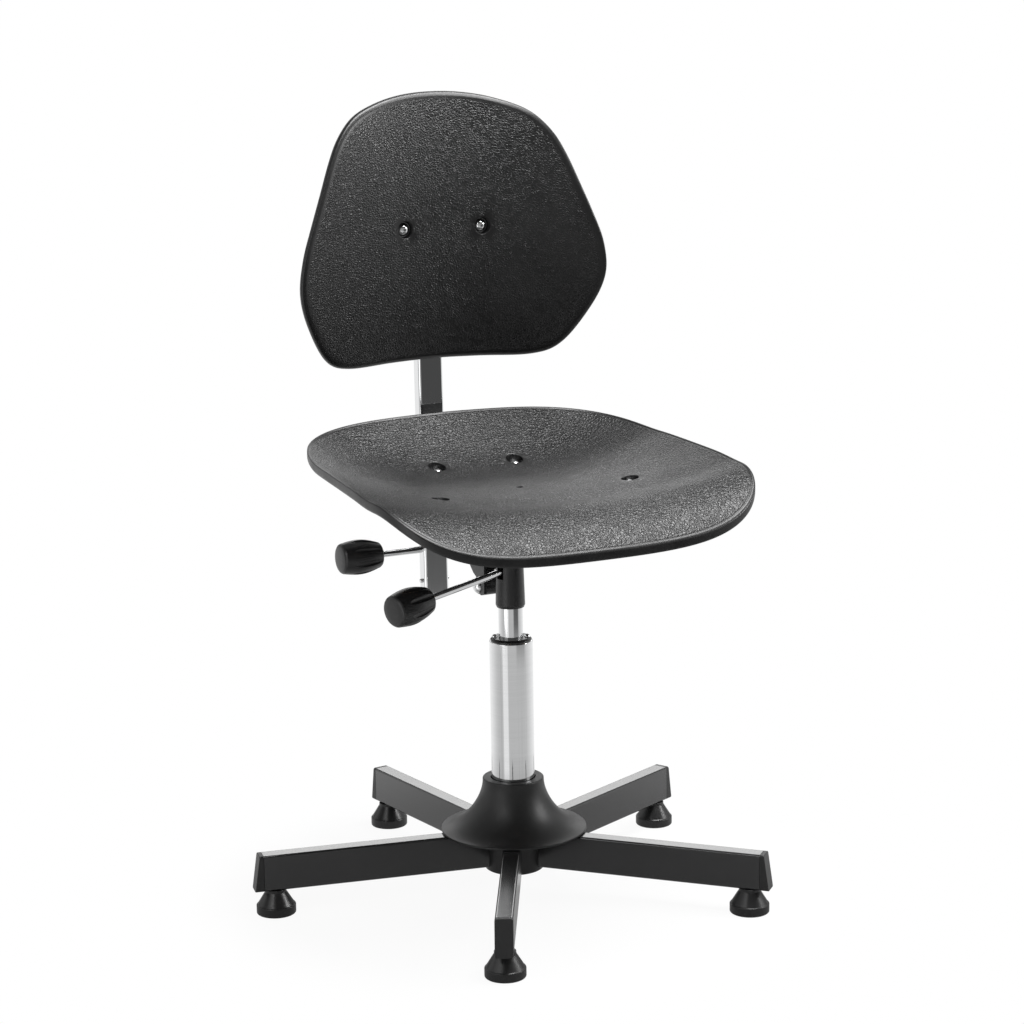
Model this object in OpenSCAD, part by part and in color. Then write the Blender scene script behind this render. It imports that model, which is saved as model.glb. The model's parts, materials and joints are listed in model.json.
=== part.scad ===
// Swivel work chair: five-leg tube base on glides, gas column, moulded foam seat and backrest,
// flat back strut in a tilting carrier, and two lever rods with fluted barrel grips.
// Millimetres. +Z is up, the chair faces -Y, and the origin is where the swivel axis meets the floor.

/* [Base] */
// Direction of the first leg, turned from the chair's front
base_turn = -28.8; // [-36:0.1:36]
// Radius of the circle that the glides stand on
glide_circle = 283; // [250:1:330]
// Height of a leg tube
leg_h = 42; // [36:1:48]
// Width of a leg tube
leg_w = 20; // [18:0.5:28]
// Wall of a leg tube
leg_wall = 1.5; // [1.2:0.1:2.5]
// Radius of a leg tube's long edges
leg_edge = 2.5; // [2:0.1:4]
// Length of tube past the centre of its glide
leg_overhang = 14; // [12:1:30]
// Outer diameter of the hub
hub_d = 69; // [64:1:76]
// How far the hub reaches below the legs
hub_drop = 5; // [3:0.5:10]
// How far the hub reaches above the legs
hub_rise = 20; // [14:1:24]
// Thickness of an end cap at its top edge
cap_top = 5; // [3:0.5:8]
// Thickness of an end cap at its bottom edge
cap_foot = 11; // [8:0.5:16]
// Length of an end cap's plug inside the tube
cap_plug = 6; // [3:0.5:8]

/* [Glides] */
// Diameter of a glide on the floor
glide_d = 45; // [38:0.5:60]
// Height of a glide's upright rim
glide_rim = 11; // [6:0.5:13]
// Height of a glide's cone above the rim
glide_cone = 15; // [10:0.5:20]
// Diameter of a glide's neck
glide_neck_d = 24; // [18:0.5:30]
// Height of a glide's neck up to the leg
glide_neck = 3; // [2:0.5:10]
// Diameter of the steel stem that holds a glide in its leg
stem_d = 11; // [8:0.5:12]
// Length of stem inside the leg
stem_reach = 30; // [15:1:32]

/* [Cover] */
// Diameter of the cover's brim
brim_d = 169; // [150:1:190]
// Diameter of the cover's collar
collar_d = 71; // [68:0.5:90]
// Height of the cover from brim to collar
cover_h = 60; // [50:1:70]
// Wall of the cover
cover_wall = 2.5; // [2:0.1:4]
// Gap between the cover's collar and the column
collar_gap = 1; // [0.5:0.5:5]

/* [Column] */
// Outer diameter of the column tube
column_d = 50; // [48:0.5:54]
// Wall of the column tube
column_wall = 1.5; // [1:0.1:2]
// Height of the column tube's mouth above the floor
column_top = 296.8; // [285:0.1:300]
// Drop in diameter over the column's tapered foot
column_taper = 1.6; // [1:0.1:3]
// Outer diameter of the pressure tube
tube_d = 28; // [26:0.5:30]
// Wall of the pressure tube
tube_wall = 1.5; // [1:0.1:2]
// Drop in diameter over the pressure tube's tapered head
tube_taper = 1.6; // [1:0.1:2.5]
// Length of the tapered head, which sits in the socket
tube_head = 30; // [25:1:32]
// Travel of the seat height
lift = 125; // [80:1:125]
// Height of the guide ring above the column's mouth
ring_h = 3.7; // [3:0.1:9]
// Length of the guide bush inside the column
bush_l = 85; // [60:1:95]
// Diameter of the piston rod
rod_d = 10; // [8:0.5:12]
// Radius on which the two ring screws stand
ring_screw_circle = 18.6; // [18:0.1:19]
// Diameter of a ring screw's head
ring_screw_d = 7; // [5:0.5:7.5]

/* [Socket] */
// Gap between the guide ring and the socket at the lowest seat height
socket_gap = 35.5; // [25:0.5:45]
// Length of the socket up to the seat plate
socket_l = 110; // [102:1:125]
// Outer diameter of the socket at its lower edge
socket_d = 34; // [32.5:0.1:38]
// Outer diameter of the socket above its taper
socket_neck_d = 31.4; // [30:0.1:34]
// Diameter of the socket's hollow above the tube head
socket_bore = 24.6; // [23:0.1:25]
// Height of the front lever's axis above the socket's lower edge, at the column's centre line
lever_rise = 44; // [40:0.5:48]

/* [Seat] */
// Half the width of the seat
seat_half = 224; // [200:1:240]
// How far the seat reaches in front of the column
seat_front = 226; // [205:1:250]
// How far the seat reaches behind the column
seat_rear = 166; // [155:1:172]
// Thickness of the seat in its hollow
seat_core = 31; // [27:0.5:40]
// Rise of the seat's sides
side_rise = 35; // [20:1:40]
// Rise of the seat's rear edge
rear_rise = 60; // [40:1:65]
// Fall of the seat's front edge
front_fall = 37; // [20:1:40]
// Thickness of the seat's rim
seat_lip = 11.5; // [10:0.5:15]
// Distance of a front seat screw from the centre line
front_screw_x = 118; // [100:1:122]
// Distance of the front seat screws in front of the column
front_screw_y = 71; // [60:1:80]
// Distance of a rear seat screw from the centre line
rear_screw_x = 50; // [42:1:60]
// Distance of the rear seat screws behind the column
rear_screw_y = 84; // [78:1:92]
// Distance of the vent hole in front of the column
vent_y = 28; // [20:1:36]
// Diameter of the vent hole
vent_d = 8; // [5:0.5:12]
// Diameter of a screw recess in seat and backrest
recess_d = 20; // [18:0.5:24]
// Depth of a screw recess below the surface round it
recess_depth = 9; // [8.5:0.5:12]
// Thickness of the seat's carrier board
board_t = 6; // [4:0.5:8]
// Thickness of the seat plate
plate_t = 3; // [2:0.25:4]

/* [Backrest] */
// Half the width of the backrest
back_half_w = 196; // [170:1:220]
// Height of the backrest from edge to edge
back_h = 316; // [270:1:350]
// Height of the backrest screws above the seat's hollow
back_rise = 277; // [245:1:310]
// Distance of the backrest's middle surface behind the column
back_y = 174; // [168:1:178]
// Thickness of the backrest in its middle
back_t = 28; // [22:1:32]
// Thickness of the backrest's rim
back_lip = 12; // [10:0.5:16]
// How far the backrest's sides come forward
back_wrap = 56.4; // [30:0.1:65]
// Forward lean of the backrest, as a slope
back_slope = 0.033; // [0:0.001:0.05]
// How far the backrest's upper and lower edges curve to the rear
back_bow = 12.2; // [0:0.1:14]
// Half the distance between the backrest screws
back_screw_x = 49.7; // [40:0.1:60]
// Depth of the backrest's carrier board
back_board_t = 5; // [3:0.5:6]

/* [Strut] */
// Width of the strut's flat section
strut_w = 32; // [28:0.5:36]
// Depth of the strut's flat section
strut_t = 17; // [12:0.5:18]
// Wall of the strut
strut_wall = 2.5; // [2:0.1:3]
// Length of strut above the backrest's screws
strut_over = 31; // [28:0.5:40]
// Lean of the strut to the rear, in degrees
strut_lean = 1; // [0:0.1:2]
// Distance of the strut's foot behind the column
strut_y = 206.2; // [204:0.1:209]
// Distance of the strut's foot below the tilt pivot
strut_drop = 42; // [36:0.5:47]
// Height of the stop pin above the strut's foot
stop_rise = 17; // [12:1:22]
// Diameter of the stop pin
stop_d = 5; // [4:0.5:7]
// How far the stop pin stands out on each side
stop_proud = 3.5; // [2:0.5:6]

/* [Carrier] */
// Distance of the tilt pivot behind the column
pivot_y = 46; // [44:0.5:48]
// Height of the tilt pivot above the socket's lower edge
pivot_rise = 16; // [13:0.5:19]
// Diameter of the pivot bolt
pivot_d = 10; // [8:0.5:11]
// Width of the carrier arm
arm_w = 30; // [28:0.5:32]
// Wall of the carrier arm, the bracket's cheeks and the sleeve
steel_t = 3; // [2.5:0.25:3.5]
// Height of the sleeve round the strut
sleeve_h = 60; // [50:1:66]
// Height of the sleeve's lower edge above the strut's foot
sleeve_rise = 74; // [70:1:78]
// Thickness of the plastic liner round the strut
liner_t = 1.5; // [1:0.1:2]

/* [Levers] */
// Length of a barrel grip
grip_l = 51.5; // [46:0.5:62]
// Diameter of a grip at its fullest
grip_d = 42; // [36:0.5:46]
// Diameter of a grip's outer end
grip_end_d = 37; // [32:0.5:38]
// Diameter of a grip's inner end
grip_root_d = 30; // [26:0.5:32]
// Number of flutes round a grip
flutes = 8; // [4:1:10]
// Depth of a flute at the grip's inner end
flute_depth = 0.8; // [0.5:0.1:2]
// Radius of a flute
flute_r = 4; // [3:0.5:6]
// Diameter of a lever rod
lever_d = 8; // [6:0.5:8]
// Turn of the front lever towards the chair's front, in degrees
front_turn = 17; // [10:0.5:24]
// Droop of the front lever, in degrees
front_droop = 6.3; // [4:0.1:8]
// Distance from the column's axis to the front grip
front_reach = 127; // [110:1:140]
// Distance from the centre line to the rear grip
rear_reach = 83; // [70:1:100]
// Distance of the rear lever behind the column
rear_lever_y = 180; // [178:0.5:182]
// How far the rear lever's rod hangs below the clamp shaft
lever_drop = 30; // [26:0.5:34]
// Height of the clamp shaft above the tilt pivot
clamp_rise = 50; // [48:0.5:52]

/* [Hidden] */
$fn = 64;
leg_count = 5;
leg_names = ["leg_1", "leg_2", "leg_3", "leg_4", "leg_5"];
cap_names = ["leg_cap_1", "leg_cap_2", "leg_cap_3", "leg_cap_4", "leg_cap_5"];
glide_names = ["glide_1", "glide_2", "glide_3", "glide_4", "glide_5"];

// Radial clearance of a shaft in its bore
fit = 0.05;
// Clearance between pieces that lie beside each other
clear = 0.3;

leg_z = glide_rim + glide_cone + glide_neck;
leg_top = leg_z + leg_h;
leg_end = glide_circle + leg_overhang;
hub_z = leg_z - hub_drop;
hub_top = leg_top + hub_rise;
brim_z = leg_top + clear + cover_wall;
cover_top = brim_z + cover_h;

socket_foot = column_top + ring_h + socket_gap;
socket_top = socket_foot + socket_l;
seat_under = socket_top + plate_t;
seat_z = seat_under + seat_core;
over_seat = seat_core + rear_rise;
back_z = seat_z + back_rise;
lever_z = socket_foot + lever_rise;
pivot_z = socket_foot + pivot_rise;
clamp_z = pivot_z + clamp_rise;
rear_lever_z = clamp_z - lever_drop;
strut_z = pivot_z - strut_drop;

column_r = column_d / 2;
column_bore = column_r - column_wall;
column_foot_r = column_r - column_taper / 2;
column_z = hub_z + 6;
bottom_t = 4;
bottom_z = column_z + bottom_t;
race_t = 2;
race_r = 13;
ball_r = 1.85;
ball_lane = 4;
ball_circle = 9.5;
ball_count = 10;
cage_t = 1.2;
bearing_top = bottom_z + 2 * race_t + ball_lane;
pin_r = rod_d / 2 - 1;
buffer_h = 12;
buffer_r = 11;
tube_z = bearing_top + buffer_h + clear;
tube_r = tube_d / 2;
tube_bore = tube_r - tube_wall;
tube_top = socket_foot + tube_head;
tube_head_r = tube_r - tube_taper / 2;
guide_l = 22;
piston_h = 14;
piston_z = tube_z + guide_l + lift + 2;
rod_top = piston_z + piston_h;
ring_r = column_r - 1.2;
ring_chamfer = 2.3;
button_r = 3;
valve_z = tube_top - 28;
valve_h = 18;
button_z = valve_z + 8;
cap_t = tube_top - valve_z - valve_h;

socket_taper_h = 50;
weld_collar_r = 22;
weld_collar_h = 6;
// Distance of the front lever's pin from the column's axis, towards the grip
lever_pin_x = 11;
lever_pin_r = 2;
// The pin's hole is blind: it reaches this far towards the front, and the pin is this long
lever_pin_fore = 8;
lever_pin_l = 20;
lever_inner = 3;
lever_swing = 12;
lever_pin_z = lever_z - lever_pin_x * tan(front_droop);
slot_w = lever_d + 1.6;
slot_low = lever_d / 2 + 4;
slot_high = lever_d / 2 + 4;
button_top = lever_z - lever_d / 2 / cos(front_droop) - clear;

seat_mid = (seat_rear - seat_front) / 2;
seat_len = (seat_rear + seat_front) / 2;
front_corner = 4.6;
rear_corner = 3.9;
seat_widen = 0.053;
fall_y = 140;
rise_y = 37;
corner_dip = 35;
seat_facets = 56;
seat_screws_xy = [
    [-front_screw_x, -front_screw_y], [front_screw_x, -front_screw_y],
    [-rear_screw_x, rear_screw_y], [rear_screw_x, rear_screw_y]
];
board_x = front_screw_x + 10;
board_front = front_screw_y + 47;
board_rear = rear_screw_y + 10;
board_r = 40;
shank_r = 4;
sleeve_r = 6;
head_r = 7.8;
head_h = 5.5;
washer_r = 8.8;
washer_t = 1.2;
nut_af = 15;
nut_h = 6.5;
plate_arm = 42;
plate_end = 14;
plate_waist = 16;
plate_step = 20;
fold_front = 12;
fold_side = 14;
bracket_fore = 18;
bracket_aft = 34;

back_facets = 56;
back_front = back_y - back_t / 2;
back_rear = back_y + back_t / 2;
back_floor = back_mid(back_screw_x, back_z) - back_t / 2 + recess_depth;
back_board_w = 2 * back_screw_x + 44;
back_board_h = 84;
back_centre_z = back_z - 20;

strut_r = 3.5;
liner_gap = 0.1;
sleeve_in_w = strut_w + 2 * liner_t + 2 * liner_gap;
sleeve_in_t = strut_t + 2 * liner_t + 2 * liner_gap;
sleeve_w = sleeve_in_w + 2 * steel_t;
sleeve_t = sleeve_in_t + 2 * steel_t;
bracket_z = back_z - strut_z;
strut_l = bracket_z + strut_over;
saddle_t = 2.5;
saddle_h = 76;
cross_r = 3;
cross_rise = 24;

cheek_gap = 0.6;
cheek_in = arm_w / 2 + cheek_gap;
cheek_out = cheek_in + steel_t;
boss_r = 10.5;
bolt_head_h = 6;
clamp_r = 5;
cam_r = 7;
cam_offset = 1;
cam_half = 6;
shoe_w = 12;
shoe_h = 14;
elbow_r = 8;
crank_x = cheek_out + lever_d / 2 + 1;
grip_bore_l = 30;
grip_round = 5;
grip_dome = 0.9;
flute_end = 0.8;
lip_r = 1.2;
cheek_r = 8.5;
cheek_aft = 4;

// Frames and plain shapes

module on_leg(i) {
    rotate([0, 0, base_turn + i * 360 / leg_count - 90]) children();
}

module along_x() {
    rotate([90, 0, 90]) children();
}

module in_strut() {
    translate([0, strut_y, strut_z]) rotate([-strut_lean, 0, 0]) children();
}

// The front lever's own frame: X runs from the column's axis to the grip
module in_front_lever() {
    translate([0, 0, lever_z]) rotate([0, 0, 180 + front_turn]) rotate([0, front_droop, 0]) children();
}

module rounded_rect(w, h, r) {
    square([w - 2 * r, h], center = true);
    square([w, h - 2 * r], center = true);
    for (x = [-1, 1], y = [-1, 1])
        translate([x * (w / 2 - r), y * (h / 2 - r)]) circle(r);
}

module ring(outer, inner, h) {
    difference() {
        cylinder(r = outer, h = h);
        translate([0, 0, -1]) cylinder(r = inner, h = h + 2);
    }
}

module hex_nut(af, h, bore) {
    difference() {
        cylinder(d = af / cos(30), h = h, $fn = 6);
        translate([0, 0, -1]) cylinder(r = bore, h = h + 2);
    }
}

// Domed screw head standing on z = 0
module dome_head(r, h) {
    sphere_r = (r * r + h * h) / (2 * h);
    intersection() {
        translate([0, 0, h - sphere_r]) sphere(r = sphere_r);
        cylinder(r = r, h = h);
    }
}

// Closed skin through rings of equal length, with a middle point at each end
module skin(rings, first, last) {
    n = len(rings[0]);
    m = len(rings);
    points = concat([first], [for (r = rings) for (p = r) p], [last]);
    faces = concat(
        [for (j = [0:n - 1]) [0, 1 + (j + 1) % n, 1 + j]],
        [for (i = [0:m - 2], j = [0:n - 1])
            let (a = 1 + i * n + j, b = 1 + i * n + (j + 1) % n) each [[a, b, b + n], [a, b + n, a + n]]],
        [for (j = [0:n - 1]) [m * n + 1, 1 + (m - 1) * n + j, 1 + (m - 1) * n + (j + 1) % n]]
    );
    polyhedron(points, faces, convexity = 6);
}

// Base

module base_hub() {
    top_r = hub_d / 2 - 6;
    color("#1d1d1f") rotate_extrude() polygon([
        [column_foot_r + fit, hub_z], [hub_d / 2 - 1.5, hub_z], [hub_d / 2, hub_z + 1.5],
        [hub_d / 2, leg_top], [top_r, leg_top + 4], [top_r, hub_top],
        [column_r + fit, hub_top], [column_foot_r + fit, column_z]
    ]);
}

module leg(i) {
    color("#1d1d1f") on_leg(i) difference() {
        translate([hub_d / 2 - 4, 0, leg_z + leg_h / 2]) along_x()
            linear_extrude(leg_end - hub_d / 2 + 4) difference() {
                rounded_rect(leg_w, leg_h, leg_edge);
                rounded_rect(leg_w - 2 * leg_wall, leg_h - 2 * leg_wall, leg_edge - leg_wall);
            }
        translate([0, 0, leg_z - 1]) cylinder(d = hub_d + 0.1, h = leg_h + 2);
        translate([glide_circle, 0, leg_z - 1]) cylinder(d = stem_d + 2 * fit, h = leg_wall + 2);
    }
}

module leg_cap(i) {
    play = 2 * leg_wall + 2 * fit;
    color("#141415") on_leg(i) translate([leg_end, 0, leg_z]) {
        intersection() {
            translate([0, 0, leg_h / 2]) along_x()
                linear_extrude(cap_foot) rounded_rect(leg_w, leg_h, leg_edge);
            rotate([90, 0, 0]) linear_extrude(leg_w + 2, center = true)
                polygon([[0, 0], [cap_foot, 0], [cap_top, leg_h], [0, leg_h]]);
        }
        translate([-cap_plug, 0, leg_h / 2]) along_x() linear_extrude(cap_plug)
            rounded_rect(leg_w - play, leg_h - play, leg_edge - leg_wall);
    }
}

module glide(i) {
    edge = 1.2;
    bore = stem_d / 2 + fit;
    color("#161616") on_leg(i) translate([glide_circle, 0, 0]) rotate_extrude() polygon([
        [0, 0], [glide_d / 2 - edge, 0], [glide_d / 2, edge], [glide_d / 2, glide_rim - edge / 2],
        [glide_d / 2 - edge, glide_rim], [glide_neck_d / 2, glide_rim + glide_cone],
        [glide_neck_d / 2, leg_z], [bore, leg_z], [bore, glide_rim + 1], [0, glide_rim + 1]
    ]);
}

module glide_stems() {
    foot = glide_rim + 1 + fit;
    color("silver") for (i = [0:leg_count - 1]) on_leg(i) translate([glide_circle, 0, 0]) {
        translate([0, 0, foot]) cylinder(d = stem_d, h = leg_z + stem_reach - 2 - foot);
        translate([0, 0, leg_z + stem_reach - 2]) cylinder(d1 = stem_d, d2 = stem_d - 3, h = 2);
    }
}

module base_cover() {
    steps = 16;
    a = (brim_d - collar_d) / 2;
    lip = 4;
    h = cover_h - lip;
    hole = column_r + collar_gap;
    flare = 1.2;
    outer = [for (k = [0:steps]) let (t = 90 * k / steps)
        [brim_d / 2 - a * pow(cos(t), flare), brim_z + h * (1 - pow(sin(t), flare))]];
    inner = [for (k = [steps:-1:0]) let (t = 90 * k / steps)
        [brim_d / 2 - (a + cover_wall) * pow(cos(t), flare),
            brim_z + h - (h + cover_wall) * pow(sin(t), flare)]];
    color("#1b1b1c") rotate_extrude($fn = 128) polygon(concat(
        [[collar_d / 2 - 1, cover_top], [collar_d / 2, cover_top - 1]], outer, inner,
        [[collar_d / 2 - cover_wall, cover_top - cover_wall]],
        [[hole, cover_top - cover_wall], [hole, cover_top]]
    ));
}

// Column

module column_tube() {
    color("#c9cbcd") rotate_extrude() polygon([
        [pin_r + 0.4, column_z], [column_foot_r - 1, column_z], [column_foot_r, column_z + 1],
        [column_r, hub_top],
        for (a = [0:22.5:90]) [column_r - lip_r * (1 - cos(a)), column_top - lip_r * (1 - sin(a))],
        [column_bore, column_top], [column_bore, hub_top],
        [column_foot_r - column_wall, bottom_z], [pin_r + 0.4, bottom_z]
    ]);
}

module guide_bush() {
    top = column_top + ring_h;
    color("#141414") difference() {
        rotate_extrude() polygon([
            [tube_r + fit, column_top - bush_l], [column_bore - fit, column_top - bush_l],
            [column_bore - fit, column_top], [ring_r, column_top],
            [ring_r, top - ring_chamfer], [ring_r - ring_chamfer, top], [tube_r + fit, top]
        ]);
        ring_screw_places() translate([0, 0, -12]) cylinder(r = 1.5 + fit, h = 14);
    }
}

module ring_screw_places() {
    for (s = [0, 180]) rotate([0, 0, s - 26.5])
        translate([ring_screw_circle, 0, column_top + ring_h]) children();
}

module ring_screws() {
    slot = 1;
    color("silver") ring_screw_places() {
        difference() {
            dome_head(ring_screw_d / 2, 3);
            translate([-ring_screw_d / 2, -slot / 2, 2]) cube([ring_screw_d, slot, 2]);
        }
        translate([0, 0, -11]) cylinder(r = 1.5, h = 11.5);
    }
}

module lower_race() {
    color("#b9bbbd") translate([0, 0, bottom_z]) ring(race_r, pin_r + 0.4, race_t);
}

module ball_places() {
    for (k = [0:ball_count - 1]) rotate([0, 0, k * 360 / ball_count])
        translate([ball_circle, 0, bottom_z + race_t + ball_r + 0.02]) children();
}

module bearing_balls() {
    color("silver") ball_places() sphere(r = ball_r, $fn = 24);
}

module ball_cage() {
    color("#8a7a4a") difference() {
        translate([0, 0, bottom_z + race_t + (ball_lane - cage_t) / 2])
            ring(race_r - 0.5, pin_r + 0.6, cage_t);
        ball_places() translate([0, 0, -2]) cylinder(r = ball_r + fit, h = 4, $fn = 24);
    }
}

module upper_race() {
    color("#b9bbbd") translate([0, 0, bearing_top - race_t]) ring(race_r, pin_r + fit, race_t);
}

module rubber_buffer() {
    color("#1a1a1a") translate([0, 0, bearing_top]) rotate_extrude() polygon([
        [rod_d / 2 + fit, 0], [buffer_r, 0], [buffer_r - 1.5, buffer_h / 2], [buffer_r, buffer_h],
        [rod_d / 2 + fit, buffer_h]
    ]);
}

module piston_rod() {
    foot = hub_z + 1;
    groove = column_z - 2.4;
    color("silver") rotate_extrude() polygon([
        [0, foot], [pin_r - 0.5, foot], [pin_r, foot + 0.5], [pin_r, groove], [pin_r - 1, groove],
        [pin_r - 1, groove + 1.6], [pin_r, groove + 1.6], [pin_r, bearing_top],
        [rod_d / 2, bearing_top], [rod_d / 2, rod_top], [0, rod_top]
    ]);
}

module rod_clip() {
    groove = column_z - 2.4;
    color("#8f9194") translate([0, 0, groove + 0.1]) difference() {
        ring(pin_r + 4, pin_r - 1 + fit, 1.4);
        translate([pin_r - 2, -2, -1]) cube([10, 4, 4]);
    }
    color("#8f9194") translate([0, 0, column_z - 0.7]) ring(pin_r + 5, pin_r + fit, 0.6);
}

module piston() {
    color("#5a5a5c") translate([0, 0, piston_z]) difference() {
        ring(tube_bore - fit, rod_d / 2 + fit, piston_h);
        translate([0, 0, piston_h / 2 - 1.5]) ring(tube_bore + 1, tube_bore - 1.5, 3);
    }
}

module pressure_tube() {
    color("#c4c6c9") rotate_extrude() polygon([
        [tube_bore, tube_z], [tube_r - 0.6, tube_z], [tube_r, tube_z + 0.6], [tube_r, socket_foot],
        [tube_head_r, tube_top - 1], [tube_head_r - 1, tube_top], [button_r + fit, tube_top],
        [button_r + fit, tube_top - cap_t], [tube_bore - 1, tube_top - cap_t],
        [tube_bore - 1, valve_z], [tube_bore, valve_z - 1]
    ]);
}

module rod_guide() {
    color("#6b6d70") translate([0, 0, tube_z]) difference() {
        ring(tube_bore - fit, rod_d / 2 + fit, guide_l);
        translate([0, 0, guide_l / 2 - 1]) ring(tube_bore + 1, tube_bore - 1.5, 2);
    }
}

module release_valve() {
    color("#a8894a") translate([0, 0, valve_z]) difference() {
        cylinder(r = tube_bore - 1 - fit, h = valve_h - fit);
        translate([0, 0, 4]) cylinder(r = button_r + fit, h = valve_h);
    }
}

module release_button() {
    color("silver") translate([0, 0, button_z]) {
        cylinder(r = button_r, h = button_top - button_z - 1);
        translate([0, 0, button_top - button_z - 1]) dome_head(button_r, 1);
    }
}

// Socket and seat plate

module socket() {
    bottom_r = socket_d / 2;
    neck_r = socket_neck_d / 2;
    chamfer = 3;
    color("#232324") difference() {
        union() {
            rotate_extrude() polygon([
                [0, socket_foot], [bottom_r - 1.3, socket_foot], [bottom_r, socket_foot + chamfer],
                [neck_r, socket_foot + socket_taper_h], [neck_r, socket_top], [0, socket_top]
            ]);
            translate([0, 0, socket_top - weld_collar_h]) cylinder(r = weld_collar_r, h = weld_collar_h);
        }
        rotate_extrude() polygon([
            [0, socket_foot - 1], [tube_r + fit + tube_taper / 2 / tube_head, socket_foot - 1],
            [tube_head_r + fit, tube_top + fit], [socket_bore / 2, tube_top + fit],
            [socket_bore / 2, socket_top + 1], [0, socket_top + 1]
        ]);
        in_front_lever() translate([socket_bore / 2 - 3, -slot_w / 2, -slot_low])
            cube([10, slot_w, slot_low + slot_high]);
        lever_pin_place() translate([0, 0, -lever_pin_fore - fit])
            cylinder(r = lever_pin_r + fit, h = 2 * lever_pin_l);
    }
}

// The front lever's pin lies across the slot, square to the lever
module lever_pin_place() {
    rotate([0, 0, 180 + front_turn]) translate([lever_pin_x, 0, lever_pin_z]) rotate([90, 0, 0]) children();
}

module lever_pin() {
    color("silver") lever_pin_place() translate([0, 0, -lever_pin_fore])
        cylinder(r = lever_pin_r, h = lever_pin_l);
}

// Folded edge of the seat plate between two points of its outline
module plate_edge(p, q, drop) {
    d = q - p;
    translate([p.x, p.y, seat_under - plate_t - drop]) rotate([0, 0, atan2(d.y, d.x)])
        cube([norm(d), plate_t, drop + plate_t / 2]);
}

module seat_plate() {
    front = -front_screw_y - plate_arm / 2;
    rear = rear_screw_y + plate_arm / 2;
    waist_f = -front_screw_y + plate_arm / 2;
    half_f = front_screw_x + plate_end;
    half_r = rear_screw_x + plate_end;
    flank_x = front_screw_x - plate_waist;
    rear_step = rear - plate_step;
    color("#1e1e20") difference() {
        union() {
            translate([0, 0, seat_under - plate_t]) linear_extrude(plate_t) {
                translate([0, -front_screw_y]) rounded_rect(2 * half_f, plate_arm, 8);
                translate([0, rear_screw_y]) rounded_rect(2 * half_r, plate_arm, 8);
                polygon([
                    [-flank_x, waist_f - 1], [flank_x, waist_f - 1],
                    [half_r, rear_step], [-half_r, rear_step]
                ]);
            }
            plate_edge([-half_f + 10, front], [half_f - 10, front], fold_front);
            plate_edge([half_r, rear_step - 2], [flank_x, waist_f], fold_side);
            plate_edge([-flank_x, waist_f], [-half_r, rear_step - 2], fold_side);
        }
        for (p = seat_screws_xy) translate([p.x, p.y, seat_under - plate_t - 1])
            cylinder(r = shank_r + 0.4, h = plate_t + 2);
        translate([0, -vent_y, seat_under - plate_t - 1]) cylinder(d = vent_d, h = plate_t + 2);
    }
}

module tilt_bracket() {
    y = pivot_y;
    z = pivot_z;
    h = socket_top - z;
    side = [
        [y - 16, z - 6],
        for (a = [250:20:370]) [y + cheek_r * cos(a), z + cheek_r * sin(a)],
        [y + cheek_aft, z + 0.128 * h], [y + cheek_aft, z + 0.6 * h],
        [y + bracket_aft, z + 0.8 * h], [y + bracket_aft, z + h], [y - bracket_fore, z + h]
    ];
    color("#2a2a2c") difference() {
        union() {
            for (x = [-cheek_out, cheek_in]) translate([x, 0, 0]) along_x()
                linear_extrude(steel_t) polygon(side);
            translate([-cheek_out, y - bracket_fore, z + h - steel_t])
                cube([2 * cheek_out, bracket_fore + bracket_aft, steel_t]);
        }
        translate([0, y, z]) rotate([0, 90, 0])
            cylinder(d = pivot_d + 2 * fit, h = 2 * cheek_out + 2, center = true);
    }
}

module pivot_bolt() {
    color("silver") translate([0, pivot_y, pivot_z]) rotate([0, -90, 0]) {
        translate([0, 0, -cheek_out - 9]) cylinder(d = pivot_d, h = 2 * cheek_out + 9);
        translate([0, 0, cheek_out]) dome_head(pivot_d / 2 + 3, bolt_head_h);
    }
}

module pivot_nut() {
    color("silver") translate([cheek_out + 0.1, pivot_y, pivot_z]) rotate([0, 90, 0])
        hex_nut(17, 7.5, pivot_d / 2 + fit);
}

// Seat

// Top surface: sides rise, more so to the rear, the rear edge rises with softer corners, the front falls
function seat_rise(x, y) =
    let (u = abs(x) / seat_half, r = max(0, (y - rise_y) / (seat_rear - rise_y)),
        f = max(0, (-fall_y - y) / (seat_front - fall_y)))
    seat_z + side_rise * pow(u, 2.5) * (1 + 0.56 * y / seat_half) + rear_rise * pow(r, 1.83)
        - corner_dip * u * u * r * r - front_fall * f * f;

// Floor of the recess of the seat screw at p
function seat_floor(p) = seat_rise(p.x, p.y) - recess_depth;

// Point of the seat's outline at angle a, drawn in to the share s
function seat_xy(s, a) =
    let (c = cos(a), d = sin(a), e = 2 / (d < 0 ? front_corner : rear_corner), v = sign(d) * pow(abs(d), e))
    [s * seat_half * sign(c) * pow(abs(c), e) * (1 - seat_widen * v), seat_mid + s * seat_len * v];

// Drop below the top surface: none on top, the rim's thickness at the edge, down to the flat underside
function seat_ring(s, drop) = [for (k = [0:seat_facets - 1])
    let (p = seat_xy(s, 360 * k / seat_facets), z = seat_rise(p.x, p.y)) [p.x, p.y, z - drop]];

function seat_base_ring(s, blend) = [for (k = [0:seat_facets - 1])
    let (p = seat_xy(s, 360 * k / seat_facets), z = seat_rise(p.x, p.y) - seat_lip)
    [p.x * (0.88 + 0.12 * blend), p.y, min(z, seat_under + blend * max(0, z - seat_under))]];

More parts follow.
